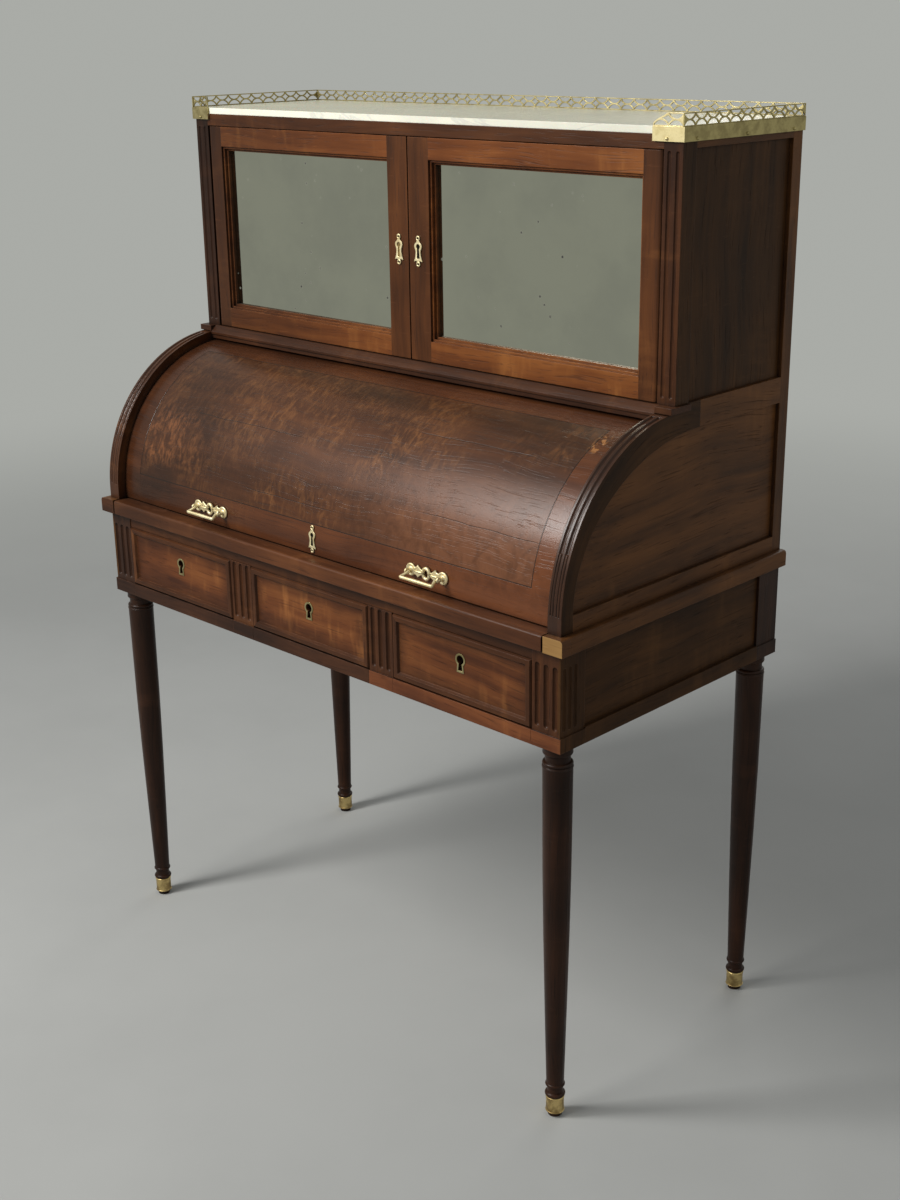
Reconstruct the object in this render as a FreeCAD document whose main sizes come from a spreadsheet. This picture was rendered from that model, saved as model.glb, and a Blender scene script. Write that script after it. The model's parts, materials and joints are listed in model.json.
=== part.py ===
import FreeCAD, Part
import math
import os
import Sketcher

# Cylinder desk: a mahogany writing desk on turned legs, with three frieze drawers, a pull-out
# writing slide, a rigid rolling cylinder front and a mirrored cabinet under a marble slab.
# Frame: +Z up, the front faces -Y, +X to the right, origin under the middle of the box.

values = {
    # carcase
    "width": 1022.0, "depth": 514.0, "overhang": 12.0, "overrun": 5.0, "joint_line": 0.3,
    "leg_height": 606.0, "frieze_height": 145.0, "mould_height": 24.0, "post_size": 51.0,
    "plinth_height": 22.0, "plinth_proud": 2.0, "top_rail_height": 20.0, "rail_depth": 60.0, "rail_set": 1.0,
    "flute_radius": 4.9, "flute_set": 1.5, "flute_pitch": 15.8, "flute_end": 12.0,
    "end_flute_radius": 3.9, "end_flute_set": 1.6, "end_flute_pitch": 11.5, "end_flute_place": 19.2,
    # turned legs
    "leg_neck_radius": 18.2, "leg_neck_length": 30.5, "leg_top_radius": 21.7, "leg_foot_radius": 13.3,
    "leg_low_share": 0.24, "leg_low_radius": 16.3, "leg_mid_share": 0.47, "leg_mid_radius": 18.9,
    "leg_high_share": 0.68, "leg_high_radius": 20.6, "leg_drum_length": 11.0,
    "leg_bead_radius": 4.0, "leg_bead_reach": 21.6, "leg_torus_radius": 3.0, "leg_torus_reach": 21.9,
    "leg_astragal_radius": 1.2, "ankle_radius": 12.1, "ankle_length": 23.0, "ankle_bead_radius": 2.9,
    "ankle_bead_reach": 14.8, "ankle_ring_radius": 3.6, "ankle_ring_reach": 15.4, "tip_radius": 10.5,
    "tip_length": 7.0, "sabot_radius": 13.5, "sabot_wall": 1.5, "sabot_height": 26.0, "sabot_rim_radius": 0.9,
    "sabot_collar_radius": 1.7,
    # frieze boards and drawer carriers
    "apron_thick": 18.0, "apron_sunk": 4.0, "apron_strip_height": 24.0, "back_board": 18.0, "back_inset": 8.0,
    "stile_width": 51.0, "runner_height": 16.0, "runner_lap": 12.0, "guide_height": 26.0,
    # frieze drawers
    "drawer_gap": 0.7, "drawer_front_thick": 22.0, "bead_width": 12.0, "bead_depth": 4.0, "bead_slope": 2.5,
    "bead_fall": 2.5, "bead_proud": 2.0,
    "drawer_back_gap": 38.0, "drawer_wall": 10.0, "drawer_side_drop": 8.0, "drawer_base": 6.0,
    "drawer_base_rise": 6.0,
    "key_ring_radius": 9.5, "key_ring_wall": 2.8, "key_leg_length": 19.5, "key_leg_top": 10.0,
    "key_leg_foot": 14.0,
    "key_plate": 0.8, "lock_width": 52.0, "lock_height": 40.0, "lock_thick": 11.0, "key_rise": 13.5,
    # pull-out writing slide
    "slide_gap": 3.0, "slide_clear": 0.6, "slide_back_gap": 38.0, "slide_edge_depth": 26.0,
    "slide_round": 4.0,
    "leather_thick": 1.2, "leather_border": 46.0, "leather_depth": 215.0, "leather_set": 22.0,
    # side mouldings
    "mould_width": 34.0, "mould_round": 5.0, "block_depth": 18.0,
    # cylinder and its cheeks
    "cheek_thick": 24.0, "cheek_radius": 244.0, "axis_rise": 16.0, "shell_sunk": 15.0, "shell_thick": 16.0,
    "shell_side_gap": 1.5, "shell_foot_gap": 1.5, "shell_lap": 12.0, "cheek_flute_radius": 3.4,
    "cheek_flute_set": 0.9, "cheek_flute_pitch": 10.5, "cheek_flute_foot": 10.0, "cheek_flute_head": 9.0,
    "cable_radius": 2.5, "cable_sunk": 2.1, "cable_rise": 82.0,
    "side_rail": 24.0, "arch_lap": 29.0, "mid_rail": 38.0, "cheek_foot_width": 24.0,
    "rear_stile": 22.0, "panel_thick": 8.0, "panel_sunk": 6.0,
    "arm_thick": 12.0, "arm_width": 22.0, "arm_end_gap": 3.5, "hub_radius": 13.0, "pivot_radius": 6.0,
    "pivot_clear": 0.05, "pivot_plate_radius": 11.0, "pivot_plate": 3.0,
    # brass pulls of the cylinder
    "pull_place_share": 0.5108, "pull_rise": 10.0, "pull_half": 32.0, "rosette_radius": 9.6,
    "rosette_thick": 3.0,
    "pull_bar_height": 8.0, "pull_ring_radius": 7.2, "pull_ring_wire": 2.4, "pull_post_radius": 3.2,
    "pull_post_length": 7.0, "pull_eye_radius": 4.6, "pull_eye_half": 1.6, "pull_eye_clear": 3.2,
    "bail_pin_radius": 2.0, "bail_pin_clear": 0.05, "bail_pin_lap": 1.0, "bail_wire": 2.4, "bail_reach": 13.6,
    "bail_drop": 5.8, "bail_gap": 0.5, "bail_knob": 2.9, "pull_seat": 0.05,
    # escutcheons of the cylinder and the doors
    "scutcheon_thick": 1.5, "scutcheon_body": 7.6, "scutcheon_half": 15.0, "scutcheon_waist": 4.6,
    "scutcheon_bud": 2.6, "scutcheon_hole": 3.0, "scutcheon_slot": 3.0, "scutcheon_slot_length": 8.0,
    # cabinet
    "cabinet_setback": 235.0, "base_clear": 3.0, "base_proud": 15.0, "base_back": 15.0, "base_cap": 9.0,
    "base_end": 5.0, "base_nose": 10.0, "base_step": 4.0, "base_quirk": 4.0, "cabinet_floor": 14.0,
    "cabinet_height": 357.0, "cabinet_rail": 19.0, "cabinet_post": 31.0, "cabinet_post_depth": 30.0,
    "cabinet_flute_radius": 3.4, "cabinet_flute_set": 1.3, "cabinet_flute_pitch": 14.0,
    "top_board": 14.0, "shelf_thick": 12.0, "shelf_rise": 166.0, "shelf_back": 40.0, "wall_rail": 18.0,
    "back_panel_thick": 10.0,
    # doors
    "door_thick": 22.0, "door_gap": 1.1, "door_foot_gap": 1.2, "door_head_gap": 1.2, "door_meet_gap": 1.2,
    "hang_stile": 32.0, "meet_stile": 43.0, "door_top_rail": 32.0, "door_foot_rail": 32.0,
    "hinge_set": 6.0, "hinge_pin_radius": 2.5, "hinge_pin_clear": 0.05, "hinge_pin_lap": 10.0,
    "sight_width": 7.0, "sight_lip": 3.5, "sight_set": 3.5, "sight_step": 5.0, "rebate_width": 6.0,
    "rebate_depth": 8.0,
    "mirror_thick": 3.5, "mirror_gap": 0.5, "door_back_thick": 4.0, "door_lock_height": 42.0,
    "door_lock_width": 34.0,
    "scutcheon_place": 21.0,
    # marble slab and pierced brass gallery
    "marble_thick": 10.0, "band_thick": 4.0, "band_drop": 9.0, "band_return_right": 48.0,
    "band_return_left": 37.0,
    "fret_height": 17.5, "fret_thick": 1.6, "fret_rail": 1.5, "fret_pitch": 25.0, "fret_ribbon": 2.0,
    "nail_radius": 2.4, "nail_rise": 3.6,
    # writing interior
    "bed_thick": 12.0, "bed_gap": 1.5, "bed_end_gap": 4.25, "bed_set": 240.0, "nest_end_gap": 11.0,
    "nest_set": 250.0,
    "nest_depth": 145.0, "nest_height": 142.0, "nest_wall": 10.0, "nest_shelf_rise": 60.0, "nest_gap": 0.6,
    "nest_front": 12.0, "nest_drawer_wall": 7.0, "nest_drawer_depth": 130.0, "knob_radius": 6.0,
    "knob_stem": 2.5,
    "knob_stand": 7.0,
}

doc = FreeCAD.newDocument("cylinder_desk")
sheet = doc.addObject("Spreadsheet::Sheet", "sizes")
for row, (name, value) in enumerate(values.items(), 1):
    sheet.set("A%d" % row, name)
    sheet.set("B%d" % row, str(value))
    sheet.setAlias("B%d" % row, name)
doc.recompute()


class Size:
    # A length that keeps its formula over the sheet's cells beside its present value.
    def __init__(self, text, number):
        self.text = text
        self.number = number

    def __add__(self, other):
        return join(self, "+", other)

    def __radd__(self, other):
        return join(other, "+", self)

    def __sub__(self, other):
        return join(self, "-", other)

    def __rsub__(self, other):
        return join(other, "-", self)

    def __mul__(self, other):
        return join(self, "*", other)

    def __rmul__(self, other):
        return join(other, "*", self)

    def __truediv__(self, other):
        return join(self, "/", other)

    def __neg__(self):
        return join(0, "-", self)


def text_of(item):
    return item.text if isinstance(item, Size) else repr(item)


def number_of(item):
    return item.number if isinstance(item, Size) else float(item)


def join(left, sign, right):
    a = number_of(left)
    b = number_of(right)
    if sign == "+":
        number = a + b
    elif sign == "-":
        number = a - b
    elif sign == "*":
        number = a * b
    else:
        number = a / b
    return Size("(%s %s %s)" % (text_of(left), sign, text_of(right)), number)


class Sizes:
    pass


s = Sizes()
for name in values:
    setattr(s, name, Size("sizes." + name, float(sheet.get(name))))

along_x = FreeCAD.Rotation(FreeCAD.Vector(0, 1, 0), 90)
along_y = FreeCAD.Rotation(FreeCAD.Vector(1, 0, 0), -90)
along_z = FreeCAD.Rotation()
side_on = FreeCAD.Rotation(FreeCAD.Vector(1, 1, 1), 120)
pieces = []


def bind(item, path, value):
    if isinstance(value, Size):
        item.setExpression(path, value.text)


def place(item, x, y, z, turn=along_z):
    item.Placement = FreeCAD.Placement(FreeCAD.Vector(0, 0, 0), turn)
    bind(item, ".Placement.Base.x", x)
    bind(item, ".Placement.Base.y", y)
    bind(item, ".Placement.Base.z", z)
    return item


def box(x0, x1, y0, y1, z0, z1):
    item = doc.addObject("Part::Box", "board")
    bind(item, "Length", x1 - x0)
    bind(item, "Width", y1 - y0)
    bind(item, "Height", z1 - z0)
    return place(item, x0, y0, z0)


def rod(x, y, z, radius, length, turn=along_z):
    item = doc.addObject("Part::Cylinder", "rod")
    bind(item, "Radius", radius)
    bind(item, "Height", length)
    return place(item, x, y, z, turn)


def cone(x, y, z, low, high, length):
    item = doc.addObject("Part::Cone", "taper")
    bind(item, "Radius1", low)
    bind(item, "Radius2", high)
    bind(item, "Height", length)
    return place(item, x, y, z)


def ball(x, y, z, radius):
    item = doc.addObject("Part::Sphere", "ball")
    bind(item, "Radius", radius)
    return place(item, x, y, z)


def ring(x, y, z, radius, wire, turn=along_z):
    item = doc.addObject("Part::Torus", "ring")
    bind(item, "Radius1", radius)
    bind(item, "Radius2", wire)
    return place(item, x, y, z, turn)


def fuse(*items):
    item = doc.addObject("Part::MultiFuse", "joined")
    item.Shapes = list(items)
    return item


def cut(base, *tools):
    item = doc.addObject("Part::Cut", "worked")
    item.Base = base
    item.Tool = tools[0] if len(tools) == 1 else fuse(*tools)
    return item


def common(first, second):
    item = doc.addObject("Part::Common", "shared")
    item.Base = first
    item.Tool = second
    return item


def group(*items):
    item = doc.addObject("Part::Compound", "set")
    item.Links = list(items)
    return item


def flip(source):
    item = doc.addObject("Part::Mirroring", "mirrored")
    item.Source = source
    item.Base = FreeCAD.Vector(0, 0, 0)
    item.Normal = FreeCAD.Vector(1, 0, 0)
    return item


def piece(label, item):
    item.Label = label
    pieces.append(item)
    return item


def pair(label, item):
    # The right-hand piece and its mirror image on the left.
    piece(label + "_right", item)
    piece(label + "_left", flip(item))


def wedge(x0, x1, z0, z1, y0, y1, inset):
    # A mitred opening: full size at y0, drawn in by the inset at y1.
    item = doc.addObject("Part::Wedge", "opening")
    for path, value in (("Xmin", x0), ("Xmax", x1), ("Zmin", z0), ("Zmax", z1), ("Ymin", y0), ("Ymax", y1),
                        ("X2min", x0 + inset), ("X2max", x1 - inset), ("Z2min", z0 + inset),
                        ("Z2max", z1 - inset)):
        bind(item, path, value)
    return item


def moulding(points, x0, x1):
    # A closed outline in Y and Z, run along X.
    sketch = doc.addObject("Sketcher::SketchObject", "outline")
    place(sketch, x0, 0, 0, side_on)
    flat = [FreeCAD.Vector(number_of(p[0]), number_of(p[1]), 0) for p in points]
    count = len(points)
    for i in range(count):
        sketch.addGeometry(Part.LineSegment(flat[i], flat[(i + 1) % count]), False)
    for i in range(count):
        sketch.addConstraint(Sketcher.Constraint("Coincident", i, 2, (i + 1) % count, 1))
    for i, point in enumerate(points):
        for kind, value in (("DistanceX", point[0]), ("DistanceY", point[1])):
            index = sketch.addConstraint(Sketcher.Constraint(kind, -1, 1, i, 1, number_of(value)))
            bind(sketch, "Constraints[%d]" % index, value)
    item = doc.addObject("Part::Extrusion", "run")
    item.Base = sketch
    item.DirMode = "Custom"
    item.Dir = FreeCAD.Vector(1, 0, 0)
    item.Solid = True
    bind(item, "LengthFwd", x1 - x0)
    return item


def flute(x, y, z0, z1, radius):
    # A round-ended upright flute.
    return fuse(rod(x, y, z0, radius, z1 - z0), ball(x, y, z0, radius), ball(x, y, z1, radius))


# main lines of the desk
half = s.width / 2
front = -(s.depth - s.overhang) / 2
rear = front + s.depth
frieze_foot = s.leg_height
frieze_head = frieze_foot + s.frieze_height
desk_top = frieze_head + s.mould_height
plinth_head = frieze_foot + s.plinth_height
drawer_head = frieze_head - s.top_rail_height
post_in = half - s.post_size
axis_y = front + s.cheek_radius
axis_z = desk_top + s.axis_rise
cheek_in = half - s.cheek_thick
shell_out = s.cheek_radius - s.shell_sunk
shell_in = shell_out - s.shell_thick
cabinet_front = front + s.cabinet_setback
cabinet_foot = axis_z + s.cheek_radius + s.base_cap
cabinet_head = cabinet_foot + s.cabinet_height
cap_foot = cabinet_foot - s.base_cap
post_rear = cabinet_front + s.cabinet_post_depth
stile_front = rear - s.rear_stile
rail_head = desk_top + s.side_rail
arch_head = cabinet_foot - s.mid_rail
panel_y1 = rear - s.back_inset
panel_y0 = panel_y1 - s.back_panel_thick

# turned legs, each one piece with its fluted corner post
sabot_head = s.tip_length + s.sabot_height
ankle_head = sabot_head + s.ankle_length
neck_foot = frieze_foot - s.leg_neck_length
shaft = neck_foot - ankle_head
low_z = ankle_head + shaft * s.leg_low_share
mid_z = ankle_head + shaft * s.leg_mid_share
high_z = ankle_head + shaft * s.leg_high_share
leg_x = half - s.post_size / 2


def leg(y0, y1, proud0, proud1, fluted_front):
    y = (y0 + y1) / 2
    low_flute = plinth_head + s.flute_end
    high_flute = drawer_head - s.flute_end / 2
    body = [box(post_in, half, y0, y1, frieze_foot, frieze_head),
            box(post_in, half + s.plinth_proud, y0 - proud0, y1 + proud1, frieze_foot, plinth_head),
            rod(leg_x, y, neck_foot, s.leg_neck_radius, s.leg_neck_length),
            rod(leg_x, y, frieze_foot - s.leg_drum_length, s.leg_bead_reach - s.joint_line,
                s.leg_drum_length),
            ring(leg_x, y, frieze_foot - s.leg_drum_length, s.leg_bead_reach - s.leg_bead_radius,
                 s.leg_bead_radius),
            ring(leg_x, y, neck_foot + s.leg_torus_radius - s.joint_line,
                 s.leg_torus_reach - s.leg_torus_radius, s.leg_torus_radius),
            ring(leg_x, y, neck_foot - s.leg_astragal_radius * 2,
                 s.leg_top_radius - s.leg_astragal_radius / 2,
                 s.leg_astragal_radius),
            cone(leg_x, y, ankle_head, s.leg_foot_radius, s.leg_low_radius, low_z - ankle_head),
            cone(leg_x, y, low_z, s.leg_low_radius, s.leg_mid_radius, mid_z - low_z),
            cone(leg_x, y, mid_z, s.leg_mid_radius, s.leg_high_radius, high_z - mid_z),
            cone(leg_x, y, high_z, s.leg_high_radius, s.leg_top_radius, neck_foot - high_z),
            rod(leg_x, y, sabot_head, s.ankle_radius, s.ankle_length),
            ring(leg_x, y, ankle_head - s.ankle_bead_radius, s.ankle_bead_reach - s.ankle_bead_radius,
                 s.ankle_bead_radius),
            ring(leg_x, y, sabot_head + s.ankle_ring_radius + s.joint_line,
                 s.ankle_ring_reach - s.ankle_ring_radius,
                 s.ankle_ring_radius),
            rod(leg_x, y, s.tip_length, s.sabot_radius - s.sabot_wall, s.sabot_height),
            rod(leg_x, y, 0, s.tip_radius, s.tip_length)]
    tools = []
    for step in (-1, 0, 1):
        if fluted_front:
            tools.append(flute(leg_x + s.flute_pitch * step, y0 - s.flute_set, low_flute, high_flute,
                               s.flute_radius))
            tools.append(flute(half + s.end_flute_set, y0 + s.end_flute_place + s.end_flute_pitch * step,
                               low_flute,
                               high_flute, s.end_flute_radius))
    whole = fuse(*body)
    return cut(whole, *tools) if tools else whole


pair("leg_front", leg(front, front + s.post_size, s.plinth_proud, 0, True))
pair("leg_back", leg(rear - s.post_size, rear, 0, 0, False))


def sabot(y):
    sleeve = cut(fuse(rod(leg_x, y, s.tip_length, s.sabot_radius, s.sabot_height),
                      ring(leg_x, y, s.tip_length + s.sabot_rim_radius, s.sabot_radius, s.sabot_rim_radius),
                      ring(leg_x, y, sabot_head - s.sabot_collar_radius, s.sabot_radius - s.sabot_rim_radius,
                           s.sabot_collar_radius)),
                 rod(leg_x, y, 0, s.sabot_radius - s.sabot_wall, sabot_head + s.overrun))
    return sleeve


sabot_front = sabot(front + s.post_size / 2)
sabot_back = sabot(rear - s.post_size / 2)
piece("leg_sabots", group(sabot_front, sabot_back, flip(sabot_front), flip(sabot_back)))

# frieze boards between the posts
apron_out = half - s.apron_sunk
apron_in = apron_out - s.apron_thick
apron_y0 = front + s.post_size
apron_y1 = rear - s.post_size
pair("frieze_side", fuse(box(apron_in, apron_out, apron_y0, apron_y1, frieze_foot, frieze_head),
                         box(apron_out, half + s.plinth_proud, apron_y0, apron_y1, frieze_foot,
                             frieze_foot + s.apron_strip_height)))
back_y1 = rear - s.back_inset
back_y0 = back_y1 - s.back_board
piece("frieze_back", box(-post_in, post_in, back_y0, back_y1, frieze_foot, frieze_head))
piece("front_top_rail", box(-post_in, post_in, front + s.rail_set, front + s.rail_depth, drawer_head,
                            frieze_head))

# three equal drawer bays between the posts and two fluted stiles
bay = (post_in * 2 - s.stile_width * 2) / 3
stile_in = bay / 2
stile_out = stile_in + s.stile_width
stile_mid = stile_in + s.stile_width / 2
stile = cut(fuse(box(stile_in, stile_out, front, front + s.rail_depth, frieze_foot, drawer_head),
                 box(stile_in, stile_out, front - s.plinth_proud, front, frieze_foot, plinth_head)),
            *[flute(stile_mid + s.flute_pitch * step, front - s.flute_set, plinth_head + s.flute_end,
                    drawer_head - s.flute_end / 2, s.flute_radius) for step in (-1, 0, 1)])
pair("fluted_stile", stile)
foot_rail = box(stile_out + s.joint_line, post_in - s.joint_line, front - s.plinth_proud,
                front + s.rail_depth,
                frieze_foot, plinth_head)
piece("front_bottom_rails", group(foot_rail, flip(foot_rail),
                                  box(-stile_in + s.joint_line, stile_in - s.joint_line,
                                      front - s.plinth_proud, front + s.rail_depth, frieze_foot,
                                      plinth_head)))

# runners, guides and kickers that carry the drawers and the writing slide
carrier_y0 = front + s.rail_depth
carriers = []
for x0, x1, g0, g1, y1 in ((post_in - s.runner_lap, apron_in, post_in, apron_in, apron_y1),
                           (stile_in - s.runner_lap, stile_out + s.runner_lap, stile_in, stile_out, back_y0)):
    bearer = fuse(box(x0, x1, carrier_y0, y1, plinth_head - s.runner_height, plinth_head),
                  box(g0, g1, carrier_y0, y1, plinth_head, plinth_head + s.guide_height))
    kicker = box(x0, x1, carrier_y0, y1, drawer_head, frieze_head)
    carriers += [bearer, flip(bearer), kicker, flip(kicker)]
piece("drawer_carriers", group(*carriers))


def key_shape(x, z, y0, y1, radius, spread_top, spread_foot, leg_length):
    # Keyhole outline: a disc with a tapering leg below it, the leg widening downwards.
    leg_part = doc.addObject("Part::Wedge", "keyleg")
    for path, value in (("Xmin", -spread_foot / 2), ("Xmax", spread_foot / 2), ("X2min", -spread_top / 2),
                        ("X2max", spread_top / 2), ("Ymax", leg_length), ("Zmax", y1 - y0),
                        ("Z2max", y1 - y0)):
        bind(leg_part, path, value)
    leg_part.Ymin = 0
    leg_part.Zmin = 0
    leg_part.Z2min = 0
    upright = FreeCAD.Rotation(FreeCAD.Vector(1, 0, 0), 90)
    place(leg_part, x, y1, z - leg_length, upright)
    return fuse(rod(x, y0, z, radius, y1 - y0, along_y), leg_part)


# frieze drawers: front with a raised bead, oak box, lock and inlaid keyhole ring
drawer_y0 = front - s.bead_proud
board_y0 = drawer_y0 + s.bead_depth
board_y1 = drawer_y0 + s.drawer_front_thick
drawer_z0 = plinth_head + s.drawer_gap
drawer_z1 = drawer_head - s.drawer_gap
key_z = (drawer_z0 + drawer_z1) / 2 + s.key_rise
for label, mid in (("left", -(bay + s.stile_width)), ("middle", bay * 0), ("right", bay + s.stile_width)):
    x0 = mid - bay / 2 + s.drawer_gap
    x1 = mid + bay / 2 - s.drawer_gap
    hole = key_shape(mid, key_z, front - s.overrun, board_y1 + s.overrun, s.key_ring_radius - s.key_ring_wall,
                     s.key_leg_top - s.key_ring_wall * 2, s.key_leg_foot - s.key_ring_wall * 2,
                     s.key_leg_length - s.key_ring_wall)
    board = cut(box(x0, x1, board_y0, board_y1, drawer_z0, drawer_z1), hole)
    fall = s.bead_fall
    bead = cut(wedge(x0 + fall, x1 - fall, drawer_z0 + fall, drawer_z1 - fall, drawer_y0, board_y0, -fall),
               wedge(x0 + s.bead_width - s.bead_slope, x1 - s.bead_width + s.bead_slope,
                     drawer_z0 + s.bead_width - s.bead_slope, drawer_z1 - s.bead_width + s.bead_slope,
                     drawer_y0, board_y0, s.bead_slope))
    piece("drawer_%s_front" % label, group(board, bead))
    y_back = back_y0 - s.drawer_back_gap
    side_z1 = drawer_z1 - s.drawer_side_drop
    floor_z0 = drawer_z0 + s.drawer_base_rise
    floor_z1 = floor_z0 + s.drawer_base
    piece("drawer_%s_box" % label, group(
        box(x0, x0 + s.drawer_wall, board_y1, y_back, drawer_z0, side_z1),
        box(x1 - s.drawer_wall, x1, board_y1, y_back, drawer_z0, side_z1),
        box(x0 + s.drawer_wall, x1 - s.drawer_wall, y_back - s.drawer_wall, y_back, floor_z1, side_z1),
        box(x0 + s.drawer_wall, x1 - s.drawer_wall, board_y1, y_back, floor_z0, floor_z1)))
    ring_plate = cut(key_shape(mid, key_z, board_y0 - s.key_plate, board_y0, s.key_ring_radius, s.key_leg_top,
                               s.key_leg_foot, s.key_leg_length),
                     key_shape(mid, key_z, board_y0 - s.key_plate - s.overrun, board_y0 + s.overrun,
                               s.key_ring_radius - s.key_ring_wall, s.key_leg_top - s.key_ring_wall * 2,
                               s.key_leg_foot - s.key_ring_wall * 2, s.key_leg_length - s.key_ring_wall))
    lock = box(mid - s.lock_width / 2, mid + s.lock_width / 2, board_y1, board_y1 + s.lock_thick,
               drawer_z1 - s.drawer_side_drop - s.lock_height, drawer_z1 - s.drawer_side_drop)
    piece("drawer_%s_lock" % label, group(ring_plate, lock))

# side mouldings at writing height, each with a separate front end block
mould_out = half + s.overhang
mould_in = mould_out - s.mould_width


def bullnose(x0, x1, y0, y1, z0, z1, round_size):
    # A run along Y whose outer upper edge is rounded.
    return fuse(box(x0, x1 - round_size, y0, y1, z0, z1), box(x0, x1, y0, y1, z0, z1 - round_size),
                rod(x1 - round_size, y0, z1 - round_size, round_size, y1 - y0, along_y))


block_y1 = front - s.overhang + s.block_depth
pair("side_moulding", group(bullnose(mould_in, mould_out, block_y1 + s.joint_line, rear, frieze_head,
                                     desk_top,
                                     s.mould_round),
                            bullnose(mould_in, mould_out, front - s.overhang, block_y1, frieze_head, desk_top,
                                     s.mould_round)))

# pull-out writing slide with its moulded front edge and leather
slide_half = mould_in - s.slide_gap
slide_z0 = frieze_head + s.slide_clear
slide_z1 = desk_top - s.slide_clear
slide_y0 = front - s.overhang
edge_y1 = slide_y0 + s.slide_edge_depth
slide_y1 = panel_y0 - s.slide_back_gap
leather_half = slide_half - s.leather_border
leather_y0 = edge_y1 + s.leather_set
leather_y1 = leather_y0 + s.leather_depth
slide_board = cut(box(-slide_half, slide_half, edge_y1, slide_y1, slide_z0, slide_z1),
                  box(-leather_half, leather_half, leather_y0, leather_y1, slide_z1 - s.leather_thick,
                      slide_z1 + s.overrun))
piece("writing_leather", box(-leather_half, leather_half, leather_y0, leather_y1, slide_z1 - s.leather_thick,
                             slide_z1))
slide_edge = fuse(box(-slide_half, slide_half, slide_y0 + s.slide_round, edge_y1, slide_z0, slide_z1),
                  box(-slide_half, slide_half, slide_y0, edge_y1, slide_z0, slide_z1 - s.slide_round),
                  rod(-slide_half, slide_y0 + s.slide_round, slide_z1 - s.slide_round, s.slide_round,
                      slide_half * 2, along_x))
piece("writing_slide", group(slide_board, slide_edge))

# fluted cheeks: quarter-round side members over an elliptical arch
arch_y = post_rear + s.arch_lap
arch_reach = arch_y - front - s.cheek_foot_width


def arch(x0, x1):
    oval = doc.addObject("Part::Ellipse", "oval")
    bind(oval, "MajorRadius", arch_reach)
    bind(oval, "MinorRadius", arch_head - rail_head)
    place(oval, x0, arch_y, rail_head, side_on)
    solid = doc.addObject("Part::Extrusion", "archway")
    solid.Base = oval
    solid.DirMode = "Custom"
    solid.Dir = FreeCAD.Vector(1, 0, 0)
    solid.Solid = True
    bind(solid, "LengthFwd", x1 - x0)
    return solid


cheek_x = half - s.cheek_thick / 2
shoulder = axis_z + s.cheek_radius / 2
blank = fuse(box(cheek_in, half, front, arch_y, desk_top, axis_z),
             common(rod(cheek_in, axis_y, axis_z, s.cheek_radius, s.cheek_thick, along_x),
                    box(cheek_in, half, front - s.overrun, arch_y, axis_z, cap_foot)),
             box(cheek_in, half, cabinet_front, arch_y, shoulder, cap_foot),
             box(cheek_in, half, post_rear, arch_y, shoulder, cabinet_foot))
cheek_tools = [common(arch(cheek_in - s.overrun, half + s.overrun),
                      box(cheek_in - s.overrun, half + s.overrun, front, arch_y + s.overrun, rail_head,
                          arch_head + s.overrun)),
               box(cheek_in - s.overrun, half + s.overrun, front + s.cheek_foot_width, arch_y + s.overrun,
                   desk_top - s.overrun, rail_head)]
cables = []
for step in (-1, 1):
    fx = cheek_x + s.cheek_flute_pitch / 2 * step
    cheek_tools.append(common(ring(fx, axis_y, axis_z, s.cheek_radius + s.cheek_flute_set,
                                   s.cheek_flute_radius, along_x),
                              box(cheek_in, half, front - s.overrun,
                                  cabinet_front - s.base_proud - s.cheek_flute_head,
                                  axis_z + s.cheek_flute_foot, cabinet_foot)))
    cables.append(common(ring(fx, axis_y, axis_z, s.cheek_radius - s.cable_sunk, s.cable_radius, along_x),
                         box(cheek_in, half, front - s.overrun, axis_y, axis_z + s.cheek_flute_foot,
                             axis_z + s.cheek_flute_foot + s.cable_rise)))
pair("cylinder_cheek", fuse(cut(blank, *cheek_tools), *cables))

# side frames and sunk panels
pair("side_frame", group(box(cheek_in, half, stile_front, rear, desk_top, cabinet_head),
                         box(cheek_in, half, front + s.cheek_foot_width, stile_front, desk_top, rail_head),
                         box(cheek_in, half, arch_y, stile_front, arch_head, cabinet_foot),
                         box(cheek_in, half, post_rear, stile_front, cabinet_head - s.wall_rail,
                             cabinet_head)))
panel_out = half - s.panel_sunk
panel_in = panel_out - s.panel_thick
low_panel = fuse(common(arch(panel_in, panel_out), box(panel_in, panel_out, front, arch_y, rail_head,
                                                       arch_head + s.overrun)),
                 box(panel_in, panel_out, arch_y, stile_front, rail_head, arch_head))
piece("side_panels_lower", group(low_panel, flip(low_panel)))
high_panel = box(panel_in, panel_out, post_rear, stile_front, cabinet_foot, cabinet_head - s.wall_rail)
piece("side_panels_upper", group(high_panel, flip(high_panel)))
piece("back_panel", box(-cheek_in, cheek_in, panel_y0, panel_y1, frieze_head, cabinet_head))

# rolling cylinder: a rigid curved shell on two pivoted end arms
shell_half = cheek_in - s.shell_side_gap
shell_foot = desk_top + s.shell_foot_gap
shell_rear = axis_y + s.shell_lap
curve = common(cut(rod(-shell_half, axis_y, axis_z, shell_out, shell_half * 2, along_x),
                   rod(-shell_half - s.overrun, axis_y, axis_z, shell_in, (shell_half + s.overrun) * 2,
                       along_x)),
               box(-shell_half, shell_half, axis_y - shell_out - s.overrun, shell_rear, shell_foot,
                   axis_z + shell_out + s.overrun))
pull_z = axis_z + s.pull_rise
pull_place = shell_half * s.pull_place_share
hole = fuse(rod(0, axis_y - shell_out - s.overrun, pull_z, s.scutcheon_hole, s.shell_thick + s.overrun * 2,
                along_y),
            box(-s.scutcheon_slot / 2, s.scutcheon_slot / 2, axis_y - shell_out - s.overrun,
                axis_y - shell_in + s.overrun, pull_z - s.scutcheon_slot_length, pull_z))
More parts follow.
